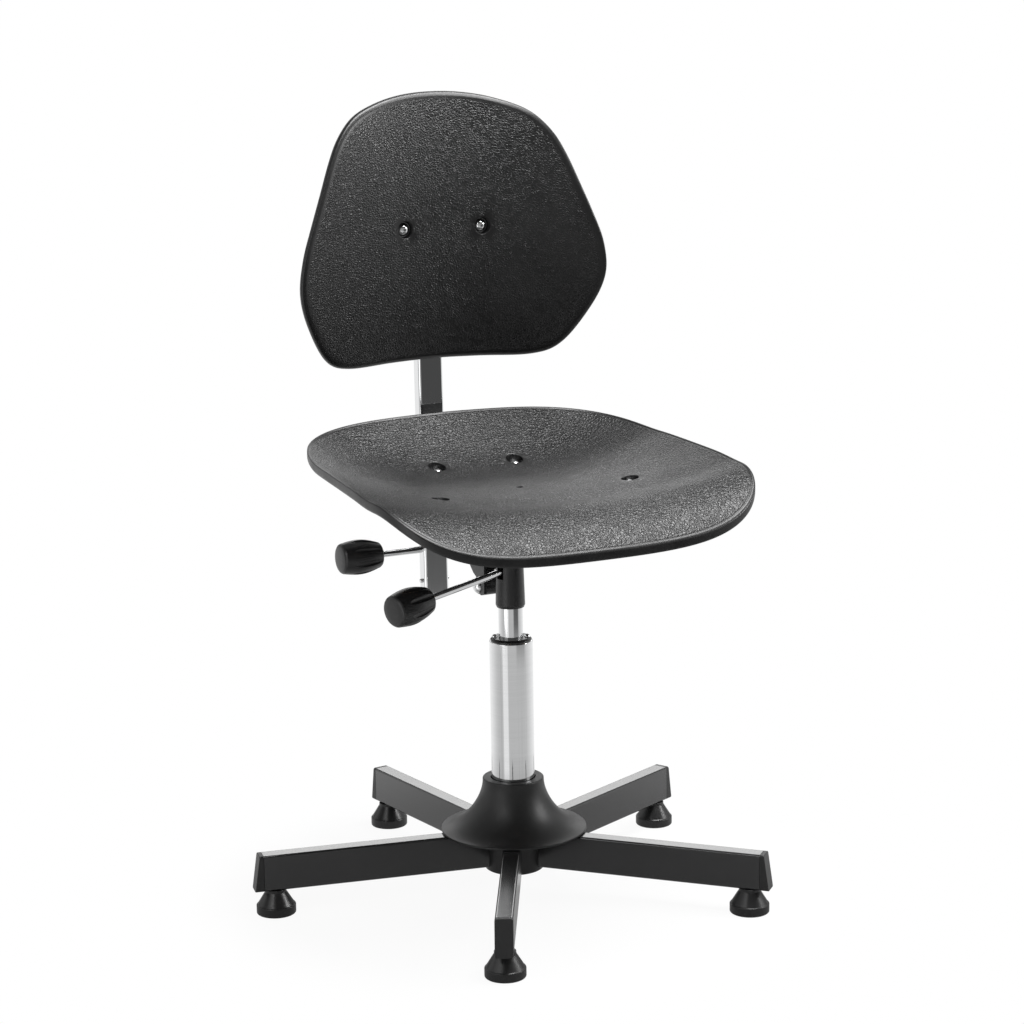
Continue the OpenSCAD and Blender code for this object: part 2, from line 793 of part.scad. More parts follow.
module seat_pad() {
    rings = concat(
        [for (s = [0.2, 0.4, 0.56, 0.7, 0.82, 0.91, 0.97]) seat_ring(s, 0)],
        [seat_ring(0.995, seat_lip * 0.16), seat_ring(1, seat_lip * 0.5), seat_ring(0.985, seat_lip * 0.9)],
        [seat_base_ring(0.95, 1), seat_base_ring(0.86, 1), seat_base_ring(0.79, 0.75)],
        [seat_base_ring(0.74, 0.25), seat_base_ring(0.7, 0), seat_base_ring(0.4, 0)]
    );
    color("#1c1c1d") difference() {
        skin([for (r = rings) [for (k = [seat_facets - 1:-1:0]) r[k]]],
            [0, seat_mid, seat_rise(0, seat_mid)], [0, seat_mid, seat_under]);
        for (p = seat_screws_xy) translate([p.x, p.y, 0]) {
            translate([0, 0, seat_floor(p)]) cylinder(d = recess_d, h = over_seat);
            translate([0, 0, seat_under - 1]) cylinder(r = sleeve_r + clear, h = over_seat);
        }
        translate([0, -vent_y, seat_under - 1]) cylinder(d = vent_d, h = over_seat);
        translate([0, 0, seat_under - 1]) seat_board_shape(board_t + 1 + clear / 2, clear / 2);
    }
}

module seat_board_shape(h, grow) {
    w = 2 * (board_x + grow);
    l = board_front + board_rear + 2 * grow;
    translate([0, (board_rear - board_front) / 2, 0]) linear_extrude(h) rounded_rect(w, l, board_r);
}

module seat_board() {
    color("#3a332c") difference() {
        translate([0, 0, seat_under]) seat_board_shape(board_t, 0);
        for (p = seat_screws_xy) translate([p.x, p.y, seat_under - 1])
            cylinder(r = sleeve_r + clear, h = board_t + 2);
        translate([0, -vent_y, seat_under - 1]) cylinder(d = vent_d, h = board_t + 2);
    }
}

module seat_sleeves() {
    color("#9a9c9f") for (p = seat_screws_xy) translate([p.x, p.y, seat_under])
        ring(sleeve_r, shank_r + 0.4, seat_floor(p) - seat_under);
}

// Domed screw with its washer, the washer's underside on z = 0
module pad_screw(l) {
    translate([0, 0, washer_t]) dome_head(head_r, head_h);
    ring(washer_r, shank_r - 0.5, washer_t);
    translate([0, 0, -l]) cylinder(r = shank_r, h = l + washer_t + 0.5);
}

module seat_screws() {
    below = plate_t + nut_h + 2 - seat_under;
    color("silver") for (p = seat_screws_xy)
        translate([p.x, p.y, seat_floor(p)]) pad_screw(seat_floor(p) + below);
}

module seat_nuts() {
    color("#9a9c9f") for (p = seat_screws_xy)
        translate([p.x, p.y, seat_under - plate_t - nut_h]) hex_nut(nut_af, nut_h, shank_r + fit);
}

// Levers

// Barrel grip along +X, with its inner end on x = 0. The flutes are deepest at the inner end and
// run out before the rounded outer one.
module grip() {
    steps = 14;
    out_r = grip_end_d / 2;
    root_r = grip_root_d / 2;
    bulge = grip_d / 2 - (root_r + out_r) / 2 - 0.4;
    function side_r(t) = root_r + (out_r - root_r) * t + bulge * sin(180 * t);
    side = [for (k = [0:steps]) let (t = k / steps) [side_r(t), 1.5 + (grip_l - grip_round - 1.5) * t]];
    nose = [for (k = [1:4]) let (a = 90 * k / 4)
        [out_r - grip_round * (1 - cos(a)), grip_l - grip_round + grip_round * sin(a)]];
    flute_rise = side_r(flute_end) - root_r + flute_depth;
    flute_tilt = atan(flute_rise / (flute_end * grip_l));
    rotate([0, 90, 0]) difference() {
        rotate_extrude() polygon(concat(
            [[0, 0], [root_r - 1.5, 0]], side, nose,
            [[out_r / 2, grip_l + 0.75 * grip_dome], [0, grip_l + grip_dome]]));
        translate([0, 0, -1]) cylinder(d = lever_d + 2 * fit, h = grip_bore_l + 1);
        for (k = [0:flutes - 1]) rotate([0, 0, 30 + k * 360 / flutes])
            translate([root_r - flute_depth, 0, 0]) rotate([0, flute_tilt, 0])
                translate([flute_r, 0, -4]) cylinder(r = flute_r, h = grip_l + 8, $fn = 32);
    }
}

module front_lever_rod() {
    color("silver") difference() {
        in_front_lever() translate([-lever_inner, 0, 0]) rotate([0, 90, 0])
            cylinder(d = lever_d, h = front_reach + lever_inner + grip_bore_l - 1);
        lever_pin_place() cylinder(r = lever_pin_r + fit, h = 30, center = true);
    }
}

module front_grip() {
    color("#171718") in_front_lever() translate([front_reach, 0, 0]) grip();
}

module clamp_lever_rod() {
    color("silver") {
        translate([0, rear_lever_y, clamp_z]) rotate([0, 90, 0]) {
            translate([0, 0, -crank_x]) cylinder(r = clamp_r, h = crank_x + cheek_out + 2);
            translate([0, 0, -crank_x - lever_d / 2 - 1]) cylinder(r = clamp_r + 2, h = lever_d + 1);
            translate([0, cam_offset, -cam_half]) cylinder(r = cam_r, h = 2 * cam_half);
        }
        translate([-crank_x, rear_lever_y, rear_lever_z + elbow_r])
            cylinder(d = lever_d, h = lever_drop - elbow_r);
        translate([-crank_x - elbow_r, rear_lever_y, rear_lever_z + elbow_r]) rotate([90, 0, 0])
            rotate([0, 0, -90]) rotate_extrude(angle = 90)
                translate([elbow_r, 0]) circle(d = lever_d, $fn = 32);
        translate([-crank_x - elbow_r, rear_lever_y, rear_lever_z]) rotate([0, -90, 0])
            cylinder(d = lever_d, h = rear_reach + grip_bore_l - 1 - crank_x - elbow_r);
    }
}

module clamp_grip() {
    color("#171718") translate([-rear_reach, rear_lever_y, rear_lever_z]) rotate([0, 0, 180]) grip();
}

// Back carrier

// Lower edge of the arm, from the pivot to the sleeve
arm_foot = strut_z + sleeve_rise;
arm_rear = strut_y - sleeve_t / 2 + 2;
arm_low = [
    [pivot_y + 8, pivot_z - 4], [pivot_y + 12, pivot_z + 9], [pivot_y + 20, pivot_z + 13],
    [pivot_y + 29, pivot_z + 21], [pivot_y + 44, pivot_z + 28],
    [pivot_y + 80, arm_foot], [arm_rear, arm_foot + 2]
];

module arm_side() {
    polygon(concat(arm_low, [
        [arm_rear, arm_foot + sleeve_h - 8], [pivot_y + 104, arm_foot + sleeve_h - 16],
        [pivot_y + 34, pivot_z + 46], [pivot_y, pivot_z + 24], [pivot_y - boss_r, pivot_z]
    ]));
}

// Hollow of the arm, open upwards
module arm_hollow() {
    top = arm_foot + sleeve_h + 20;
    polygon(concat([for (p = arm_low) [p.x - 1, p.y + steel_t]], [[arm_rear, top], [pivot_y + 7, top]]));
}

module arm_boss() {
    translate([-arm_w / 2, pivot_y, pivot_z]) rotate([0, 90, 0]) cylinder(r = boss_r, h = arm_w);
}

module back_carrier() {
    color("#232324") difference() {
        union() {
            difference() {
                translate([-arm_w / 2, 0, 0]) along_x() linear_extrude(arm_w) arm_side();
                translate([steel_t - arm_w / 2, 0, 0]) along_x()
                    linear_extrude(arm_w - 2 * steel_t) arm_hollow();
            }
            arm_boss();
            in_strut() translate([0, 0, sleeve_rise]) linear_extrude(sleeve_h)
                rounded_rect(sleeve_w, sleeve_t, strut_r + liner_t + steel_t);
        }
        in_strut() translate([0, 0, sleeve_rise - 1]) linear_extrude(sleeve_h + 2)
            rounded_rect(sleeve_in_w, sleeve_in_t, strut_r + liner_t);
        translate([0, pivot_y, pivot_z]) rotate([0, 90, 0])
            cylinder(d = pivot_d + 2 * fit, h = arm_w + 2, center = true);
        translate([0, rear_lever_y, clamp_z]) rotate([0, 90, 0])
            cylinder(r = clamp_r + fit, h = arm_w + 2, center = true);
        shoe_hole();
    }
}

// Window for the clamp shoe through the front wall of sleeve and liner
module shoe_hole() {
    translate([-shoe_w / 2 - clear, rear_lever_y + 4, clamp_z - shoe_h / 2 - clear])
        cube([shoe_w + 2 * clear, strut_y - rear_lever_y - 4, shoe_h + 2 * clear]);
}

module strut_liner() {
    gap = liner_gap;
    color("#2c2c2e") difference() {
        in_strut() translate([0, 0, sleeve_rise]) linear_extrude(sleeve_h) difference() {
            rounded_rect(sleeve_in_w - 2 * gap, sleeve_in_t - 2 * gap, strut_r + liner_t);
            rounded_rect(strut_w + 2 * gap, strut_t + 2 * gap, strut_r);
        }
        shoe_hole();
    }
}

module clamp_shoe() {
    back = rear_lever_y + cam_r + cam_offset + clear;
    color("#b08d4a") in_strut() translate([-shoe_w / 2, 0, clamp_z - strut_z - shoe_h / 2])
        translate([0, back - strut_y, 0]) cube([shoe_w, strut_y - back - strut_t / 2 - clear, shoe_h]);
}

// Strut and backrest

module back_strut() {
    color("#c7c9cc") in_strut() difference() {
        linear_extrude(strut_l) difference() {
            rounded_rect(strut_w, strut_t, strut_r);
            rounded_rect(strut_w - 2 * strut_wall, strut_t - 2 * strut_wall, strut_r - strut_wall);
        }
        translate([0, 0, stop_rise]) rotate([0, 90, 0])
            cylinder(d = stop_d + 2 * fit, h = strut_w + 2, center = true);
        for (z = [-cross_rise, cross_rise]) translate([0, 0, bracket_z + z]) rotate([0, 90, 0])
            cylinder(r = cross_r + fit, h = strut_w + 2, center = true);
    }
}

module stop_pin() {
    half = strut_w / 2 + stop_proud;
    color("silver") in_strut() translate([0, 0, stop_rise]) rotate([0, 90, 0]) {
        cylinder(d = stop_d, h = 2 * half - 2, center = true);
        for (s = [0, 1]) mirror([0, 0, s])
            translate([0, 0, half - 1]) cylinder(d1 = stop_d, d2 = stop_d - 2, h = 1);
    }
}

module back_bracket() {
    side = strut_w / 2 + 0.15;
    depth = strut_y + bracket_z * tan(strut_lean) + strut_t / 2 - back_rear;
    w = back_board_w - 20;
    color("#1e1e20") difference() {
        union() {
            translate([0, back_rear, back_z]) rotate([-90, 0, 0])
                linear_extrude(saddle_t) rounded_rect(w, 46, 10);
            for (s = [0, 1]) mirror([s, 0, 0])
                translate([side, back_rear, back_z - saddle_h / 2]) cube([saddle_t, depth, saddle_h]);
            translate([-side - saddle_t, back_rear, back_z - saddle_h / 2])
                cube([2 * (side + saddle_t), saddle_t, saddle_h]);
        }
        for (x = [-back_screw_x, back_screw_x]) translate([x, back_rear - 1, back_z]) rotate([-90, 0, 0])
            cylinder(r = shank_r + 0.4, h = saddle_t + 2);
        in_strut() for (z = [-cross_rise, cross_rise]) translate([0, 0, bracket_z + z]) rotate([0, 90, 0])
            cylinder(r = cross_r + fit, h = strut_w + 20, center = true);
    }
}

module bracket_bolts() {
    half = strut_w / 2 + 0.15 + saddle_t;
    color("silver") in_strut() for (z = [-cross_rise, cross_rise])
        translate([0, 0, bracket_z + z]) rotate([0, 90, 0]) {
            cylinder(r = cross_r, h = 2 * half, center = true);
            for (s = [0, 1]) mirror([0, 0, s]) translate([0, 0, half]) dome_head(cross_r + 2.5, 3.5);
        }
}

// Half outline of the backrest from top to bottom, as shares of its half width and of its height
back_half = [for (p = [
    [0, 0.5601], [0.1837, 0.5538], [0.3673, 0.5316], [0.5663, 0.4842], [0.6939, 0.4082],
    [0.7704, 0.3228], [0.8418, 0.2152], [0.9235, 0.0886], [0.9796, -0.0127], [1, -0.1329],
    [0.9337, -0.2563], [0.7806, -0.3987], [0.6071, -0.4399], [0.2857, -0.4367], [0, -0.4335]
]) [p.x * back_half_w, p.y * back_h]];
back_loop = concat(
    back_half, [for (k = [len(back_half) - 2:-1:1]) [-back_half[k].x, back_half[k].y]]
);

// Smooth closed curve through the outline's points, as a cubic through four neighbours
function back_outline(t) =
    let (n = len(back_loop), i = floor(t), f = t - i,
        a = back_loop[(i + n - 1) % n], b = back_loop[i % n],
        c = back_loop[(i + 1) % n], d = back_loop[(i + 2) % n])
    0.5 * (2 * b + (c - a) * f + (2 * a - 5 * b + 4 * c - d) * f * f + (3 * b - a - 3 * c + d) * f * f * f);

function back_mid(x, z) =
    let (u = x / back_half_w, v = 2 * (z - back_z) / back_h)
    back_y - back_slope * (z - back_z) + back_bow * v * v - back_wrap * u * u * (1 + 0.158 * v);

// Ring of the backrest at share s of its outline: side -1 is the front, +1 the rear
function back_ring(s, half_t, side, flat) = [for (k = [0:back_facets - 1])
    let (p = s * back_outline(k * len(back_loop) / back_facets), x = p.x, z = back_centre_z + p.y,
        curved = back_mid(x, z) + side * half_t)
    [x, curved + flat * (back_rear - curved), z]];

module back_pad() {
    t = back_t / 2;
    lip = back_lip / 2;
    front = [for (s = [0.25, 0.5, 0.7, 0.85, 0.94]) back_ring(s, lip + (t - lip) * (1 - pow(s, 3)), -1, 0)];
    rim = [back_ring(0.985, lip * 0.75, -1, 0), back_ring(1, 0, 1, 0), back_ring(0.985, lip * 0.8, 1, 0)];
    rear = [back_ring(0.93, lip, 1, 0), back_ring(0.8, lip + 1, 1, 0), back_ring(0.66, t * 0.75, 1, 0.3)];
    boss = [back_ring(0.54, t, 1, 1), back_ring(0.3, t, 1, 1)];
    middle_z = back_centre_z;
    color("#1c1c1d") difference() {
        skin(concat(front, rim, rear, boss),
            [0, back_mid(0, middle_z) - t, middle_z], [0, back_rear, middle_z]);
        for (x = [-back_screw_x, back_screw_x]) translate([x, 0, back_z]) rotate([-90, 0, 0]) {
            translate([0, 0, back_floor - back_wrap]) cylinder(d = recess_d, h = back_wrap);
            translate([0, 0, back_floor - 1]) cylinder(r = shank_r + clear, h = back_t);
        }
        back_board_shape(clear / 2);
    }
}

module back_board_shape(grow) {
    translate([0, back_rear - back_board_t - grow, back_z]) rotate([-90, 0, 0])
        linear_extrude(back_board_t + 4 * grow)
            rounded_rect(back_board_w + 2 * grow, back_board_h + 2 * grow, 12);
}

module back_board() {
    color("#3a332c") difference() {
        back_board_shape(0);
        for (x = [-back_screw_x, back_screw_x]) translate([x, back_rear - back_board_t - 1, back_z])
            rotate([-90, 0, 0]) cylinder(r = shank_r + clear, h = back_board_t + 2);
    }
}

module back_screws() {
    l = back_rear + saddle_t + nut_h + 2 - back_floor;
    color("silver") for (x = [-back_screw_x, back_screw_x])
        translate([x, back_floor, back_z]) rotate([90, 0, 0]) pad_screw(l);
}

module back_nuts() {
    color("#9a9c9f") for (x = [-back_screw_x, back_screw_x])
        translate([x, back_rear + saddle_t, back_z]) rotate([-90, 0, 0])
            hex_nut(nut_af, nut_h, shank_r + fit);
}

base_hub();
for (i = [0:leg_count - 1]) leg(i);
for (i = [0:leg_count - 1]) leg_cap(i);
for (i = [0:leg_count - 1]) glide(i);
glide_stems();
base_cover();
column_tube();
guide_bush();
ring_screws();
lower_race();
bearing_balls();
ball_cage();
upper_race();
rubber_buffer();
piston_rod();
piston();
rod_clip();
pressure_tube();
rod_guide();
release_valve();
release_button();
socket();
seat_plate();
tilt_bracket();
pivot_bolt();
pivot_nut();
lever_pin();
front_lever_rod();
front_grip();
seat_board();
seat_pad();
seat_sleeves();
seat_screws();
seat_nuts();
back_carrier();
strut_liner();
clamp_shoe();
clamp_lever_rod();
clamp_grip();
back_strut();
stop_pin();
back_bracket();
bracket_bolts();
back_board();
back_pad();
back_screws();
back_nuts();
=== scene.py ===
"""Looks of the swivel work chair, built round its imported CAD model.

Every length is in metres, in the CAD model's own frame: Z up, the sitter faces -Y, and the
origin is where the swivel axis meets the floor. The hard parts keep their CAD shape and get
broken edges and finishes; the moulded seat and backrest are modelled here in full.
"""

from __future__ import annotations

import json
import logging
import math
from dataclasses import dataclass, field
from enum import Enum
from typing import Any, Callable, Iterable, Sequence

import bmesh
import bpy
from mathutils import Matrix, Vector

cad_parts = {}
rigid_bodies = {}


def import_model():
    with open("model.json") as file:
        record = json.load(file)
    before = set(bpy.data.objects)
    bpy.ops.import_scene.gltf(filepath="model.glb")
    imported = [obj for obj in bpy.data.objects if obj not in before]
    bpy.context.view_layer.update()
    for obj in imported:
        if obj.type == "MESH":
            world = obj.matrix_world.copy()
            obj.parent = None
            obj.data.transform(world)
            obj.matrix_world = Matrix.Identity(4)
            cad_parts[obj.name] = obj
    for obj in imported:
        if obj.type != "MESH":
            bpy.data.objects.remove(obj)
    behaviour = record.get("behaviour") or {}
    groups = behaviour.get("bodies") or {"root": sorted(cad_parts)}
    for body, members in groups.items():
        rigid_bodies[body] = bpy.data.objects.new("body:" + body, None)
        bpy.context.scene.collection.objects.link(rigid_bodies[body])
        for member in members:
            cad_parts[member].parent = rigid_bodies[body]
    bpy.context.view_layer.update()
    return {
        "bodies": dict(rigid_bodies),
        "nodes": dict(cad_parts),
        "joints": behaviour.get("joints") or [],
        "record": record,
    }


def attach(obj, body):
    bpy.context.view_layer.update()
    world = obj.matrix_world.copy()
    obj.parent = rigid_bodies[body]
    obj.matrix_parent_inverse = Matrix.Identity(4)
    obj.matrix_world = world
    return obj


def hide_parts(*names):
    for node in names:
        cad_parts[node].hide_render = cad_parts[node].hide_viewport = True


LOG = logging.getLogger("work_chair")
MM = 0.001
TINY = 1e-6
WELD_REACH = 2e-6
FLAT_DEGREES = 0.4
ALL_SMOOTH = 180.0
SKIN_LEVELS = 2
HALVINGS = 32
SENSOR_WIDTH = 36.0
ELSEWHERE = (9.0, 9.0)
COAT_ROUGHNESS = 0.16
WHITE = (1.0, 1.0, 1.0, 1.0)

Colour = tuple[float, float, float]
Loop = list[bmesh.types.BMEdge]
Move = Callable[[bmesh.types.BMVert], Vector]


class Slot(Enum):
    """The record's material slots, by what they are on the chair."""

    SKIN = "skin_black"
    FRAME = "frame_black"
    LEG = "leg_black"
    CAP = "cap_black"
    COVER = "cover_black"
    GRIP = "grip_black"
    LINER = "liner"
    GLIDE = "glide_black"
    RING = "ring_black"
    COLUMN = "column_steel"
    ZINC = "bright_steel"
    TUBE = "tube_steel"
    CHROME = "chrome"
    BRASS = "brass"
    RUBBER = "rubber"
    BOARD = "board"


# Shader maths


def node_sum(operation: str, turned: bool = False) -> Callable[["Wire", Any], "Wire"]:
    """Makes one of the operators of a wire.

    Args:
        operation: The Math node's operation.
        turned: Whether the wire comes second, as it does in 1 - wire.

    Returns:
        The operator's method.
    """
    def operator(self: "Wire", other: Any) -> "Wire":
        """Returns a Math node's result for the wire and another value or wire."""
        values = (other, self) if turned else (self, other)
        return self.recipe.add("ShaderNodeMath", {"operation": operation}, dict(enumerate(values)))

    return operator


class Wire:
    """A shader socket that can be used in Python sums."""

    __add__, __radd__ = node_sum("ADD"), node_sum("ADD", True)
    __sub__, __rsub__ = node_sum("SUBTRACT"), node_sum("SUBTRACT", True)
    __mul__, __rmul__ = node_sum("MULTIPLY"), node_sum("MULTIPLY", True)
    most = node_sum("MAXIMUM")

    def __init__(self, recipe: "Recipe", socket: bpy.types.NodeSocket) -> None:
        """Keeps the socket and the recipe that it belongs to."""
        self.recipe = recipe
        self.socket = socket

    def span(self, low: float, high: float, start: float = 0.0, end: float = 1.0) -> "Wire":
        """Maps low..high smoothly to start..end.

        Args:
            low: Value that gives start.
            high: Value that gives end.
            start: Result at and below low.
            end: Result at and above high.

        Returns:
            The mapped value.
        """
        settings = {"interpolation_type": "SMOOTHSTEP"}
        inputs = {"Value": self, "From Min": low, "From Max": high, "To Min": start, "To Max": end}
        return self.recipe.add("ShaderNodeMapRange", settings, inputs)


class Recipe:
    """The node tree of one material or world, built by calls of one method."""

    def __init__(self, tree: bpy.types.NodeTree) -> None:
        """Empties the tree and keeps it."""
        tree.nodes.clear()
        self.tree = tree

    def add(self, kind: str, settings: dict[str, Any] | None = None,
            inputs: dict[str | int, Any] | None = None, output: str | int = 0) -> Wire:
        """Adds a node.

        Args:
            kind: Blender's node type.
            settings: The node's own settings, which are set first.
            inputs: Values or wires of its sockets, by name or number.
            output: Socket that the result is taken from.

        Returns:
            The wire of that output.
        """
        node = self.tree.nodes.new(kind)
        for name, value in (settings or {}).items():
            setattr(node, name, value)
        for name, value in (inputs or {}).items():
            if isinstance(value, Wire):
                self.tree.links.new(value.socket, node.inputs[name])
            else:
                node.inputs[name].default_value = value
        return Wire(self, node.outputs[output])

    def place(self) -> Wire:
        """Returns the Object coordinates."""
        return self.add("ShaderNodeTexCoord", output="Object")

    def ray(self, kind: str) -> Wire:
        """Returns 1 for rays of a kind, such as Camera, and 0 for all others."""
        return self.add("ShaderNodeLightPath", output=f"Is {kind} Ray")

    def vector(self, operation: str, *values: Any, output: str | int = 0) -> Wire:
        """Returns a Vector Math node's result for values or wires in their order."""
        inputs = dict(enumerate(values))
        return self.add("ShaderNodeVectorMath", {"operation": operation}, inputs, output)

    def noise(self, vector: Wire, scale: float | tuple[float, float, float], detail: float = 3.0,
              rough: float = 0.5) -> Wire:
        """Adds fractal noise.

        Args:
            vector: The coordinates.
            scale: Its scale, or one for each of X, Y and Z.
            detail: How many finer layers it has.
            rough: Weight of the finer layers.

        Returns:
            The noise, from 0 to 1.
        """
        if isinstance(scale, tuple):
            vector, scale = self.vector("MULTIPLY", vector, scale), 1.0
        inputs = {"Vector": vector, "Scale": scale, "Detail": detail, "Roughness": rough}
        return self.add("ShaderNodeTexNoise", {}, inputs, "Fac")

    def cells(self, feature: str, vector: Wire, scale: float, **inputs: float) -> Wire:
        """Returns the distance that a Voronoi pattern gives."""
        inputs = {"Vector": vector, "Scale": scale, **inputs}
        return self.add("ShaderNodeTexVoronoi", {"feature": feature}, inputs, "Distance")

    def warp(self, vector: Wire, scale: float, reach: float) -> Wire:
        """Bends a vector field.

        Args:
            vector: The field.
            scale: Scale of the noise that bends it.
            reach: How far a point moves, in metres.

        Returns:
            The bent field.
        """
        inputs = {"Vector": vector, "Scale": scale, "Detail": 2.0}
        cloud = self.add("ShaderNodeTexNoise", {}, inputs, "Color")
        centred = self.vector("SUBTRACT", cloud, (0.5,) * 3)
        return self.vector("MULTIPLY_ADD", centred, (2 * reach,) * 3, vector)

    def blend(self, share: Any, first: Any, second: Any) -> Wire:
        """Mixes two colours: first at share 0, second at share 1."""
        return self.add("ShaderNodeMix", {"data_type": "RGBA"}, {0: share, 6: first, 7: second}, 2)

    def bump(self, height: Wire, depth: float, strength: float = 1.0) -> Wire:
        """Returns a normal from a height of 0 to 1 that stands for depth in metres."""
        return self.add("ShaderNodeBump", {}, {"Strength": strength, "Distance": depth, "Height": height})

    def finish(self, shader: Wire, target: str = "ShaderNodeOutputMaterial") -> None:
        """Leads the last shader to the tree's output."""
        self.tree.links.new(shader.socket, self.tree.nodes.new(target).inputs["Surface"])


def rgba(colour: Colour, times: float = 1.0, plus: float = 0.0) -> tuple[float, ...]:
    """Returns the colour, multiplied and lifted, with full alpha."""
    return (*(times * part + plus for part in colour), 1.0)


# Finishes


@dataclass(frozen=True)
class Finish:
    """The base of every finish.

    Attributes:
        slot: The record's slot.
        colour: Linear base colour.
        roughness: Mean roughness.
        metallic: 1 for bare metal.
    """

    slot: Slot
    colour: Colour
    roughness: float
    metallic: float = 0.0

    def fixed(self) -> dict[str, Any]:
        """Returns the shader's constant values."""
        return {"Metallic": self.metallic, "Roughness": self.roughness}

    def surface(self, recipe: Recipe) -> dict[str, Wire]:
        """Returns the wires that change over the surface. Each finish has its own."""
        raise NotImplementedError

    def material(self) -> bpy.types.Material:
        """Makes the material, or finds it if it has been made.

        Returns:
            The material.
        """
        name = self.slot.value + "_finish"
        known = bpy.data.materials.get(name)
        if known:
            return known
        made = bpy.data.materials.new(name)
        made.use_nodes = True
        recipe = Recipe(made.node_tree)
        inputs = {"Base Color": rgba(self.colour), **self.fixed(), **self.surface(recipe)}
        recipe.finish(recipe.add("ShaderNodeBsdfPrincipled", {}, inputs))
        made.diffuse_color = rgba(self.colour)
        return made


@dataclass(frozen=True)
class MouldedSkin(Finish):
    """Self-skinned foam with an embossed hide grain that stops short of the edges.

    Attributes:
        cell: Size of a pebble of the grain.
        depth: Depth of the grain's valleys.
        bends: Scale and reach of the fine and of the broad bends of the valleys.
        squash: How much closer than round the pebbles stand along X, Y and Z.
        small_cells: How much smaller the second layer of pebbles is.
    """

    cell: float = 3.1 * MM
    depth: float = 0.34 * MM
    bends: tuple[tuple[float, float], ...] = ((210.0, 0.9 * MM), (55.0, 1.6 * MM))
    squash: tuple[float, float, float] = (1.0, 0.7, 1.2)
    small_cells: float = 2.3

    def surface(self, recipe: Recipe) -> dict[str, Wire]:
        """Draws pebbles parted by bent valleys, fine pores, and the smooth margin; valleys and margin
        have painted shade.

        Args:
            recipe: The material's recipe.

        Returns:
            The wires that change over the surface.
        """
        place = bent = recipe.place()
        grain = recipe.add("ShaderNodeAttribute", {"attribute_name": "grain"}, output="Fac")
        for scale, reach in self.bends:
            bent = recipe.warp(bent, scale, reach)
        squashed = recipe.vector("MULTIPLY", bent, self.squash)
        pebbles = recipe.cells("DISTANCE_TO_EDGE", squashed, 1 / self.cell)
        small = recipe.cells("SMOOTH_F1", bent, self.small_cells / self.cell, Smoothness=0.4)
        pores = recipe.noise(place, 2600.0, 2.0)
        swell = recipe.noise(place, 26.0, 2.0)
        valley = pebbles.span(0.0, 0.42)
        height = grain * (valley * (2 - valley) + (1 - small) * 0.12) + pores * 0.015 + swell * 0.12
        # Painted shade: the tone is darkest in the grain's valleys and where the grain stops at rims and
        # recesses, and lighter on the pebble tops, which are also worn smoother.
        wear_and_painted_shade = valley * grain
        tone = recipe.blend(wear_and_painted_shade * 0.55 + pores * 0.2, rgba(self.colour, 0.62), rgba(self.colour, 1.35))
        rough = (self.roughness + (1 - valley) * 0.08 - 0.05 * wear_and_painted_shade
                 + swell.span(0.3, 0.7, -0.03, 0.04) + pores * 0.03)
        return {"Base Color": tone, "Roughness": rough, "Normal": recipe.bump(height, self.depth)}


@dataclass(frozen=True)
class PowderCoat(Finish):
    """Stoved paint on steel, with the fine waves and dust of a sprayed coat.

    Attributes:
        wave: Depth of the coat's waves.
        rub: How much rubbed places shine, 0 to 1.
        coat: Weight of a clear gloss over the paint, 0 to 1.
    """

    wave: float = 0.05 * MM
    rub: float = 0.3
    coat: float = 0.0

    def fixed(self) -> dict[str, Any]:
        """Returns the shader's constant values."""
        return {**super().fixed(), "Coat Weight": self.coat, "Coat Roughness": COAT_ROUGHNESS}

    def surface(self, recipe: Recipe) -> dict[str, Wire]:
        """Draws orange peel, fine dust and softly rubbed patches.

        Args:
            recipe: The material's recipe.

        Returns:
            The wires that change over the surface.
        """
        place = recipe.place()
        peel = recipe.noise(place, 420.0, 2.0)
        dust = recipe.noise(place, 2400.0, 1.0)
        rubbed = recipe.noise(place, 9.0, 4.0, 0.62).span(0.5, 0.72) * self.rub
        tone = recipe.blend(dust.span(0.55, 0.85) * 0.5, rgba(self.colour), rgba(self.colour, 1.7, 0.002))
        rough = self.roughness - 0.09 * rubbed + peel.span(0.3, 0.7, -0.02, 0.03)
        height = peel * 0.8 + dust * 0.12
        return {"Base Color": tone, "Roughness": rough, "Normal": recipe.bump(height, self.wave, 0.6)}


@dataclass(frozen=True)
class MouldedPlastic(Finish):
    """Injection-moulded plastic with a spark-eroded texture and faint handling marks.

    Attributes:
        spark: Size of the texture's pits.
        pit: Depth of the pits.
    """

    spark: float = 0.7 * MM
    pit: float = 0.05 * MM

    def surface(self, recipe: Recipe) -> dict[str, Wire]:
        """Draws fine pits, uneven gloss and short scratches.

        Args:
            recipe: The material's recipe.

        Returns:
            The wires that change over the surface.
        """
        place = recipe.place()
        pits = recipe.cells("SMOOTH_F1", recipe.warp(place, 700.0, 0.2 * MM), 1 / self.spark)
        gloss = recipe.noise(place, 16.0, 4.0, 0.6)
        marks = recipe.noise(place, (60.0, 700.0, 90.0), 2.0).span(0.66, 0.78)
        tone = recipe.blend(marks * 0.25 + gloss.span(0.4, 0.8) * 0.2, rgba(self.colour),
                            rgba(self.colour, 1.8, 0.003))
        rough = self.roughness + gloss.span(0.3, 0.7, -0.04, 0.05) + marks * 0.05
        return {"Base Color": tone, "Roughness": rough, "Normal": recipe.bump(pits, self.pit, 0.5)}


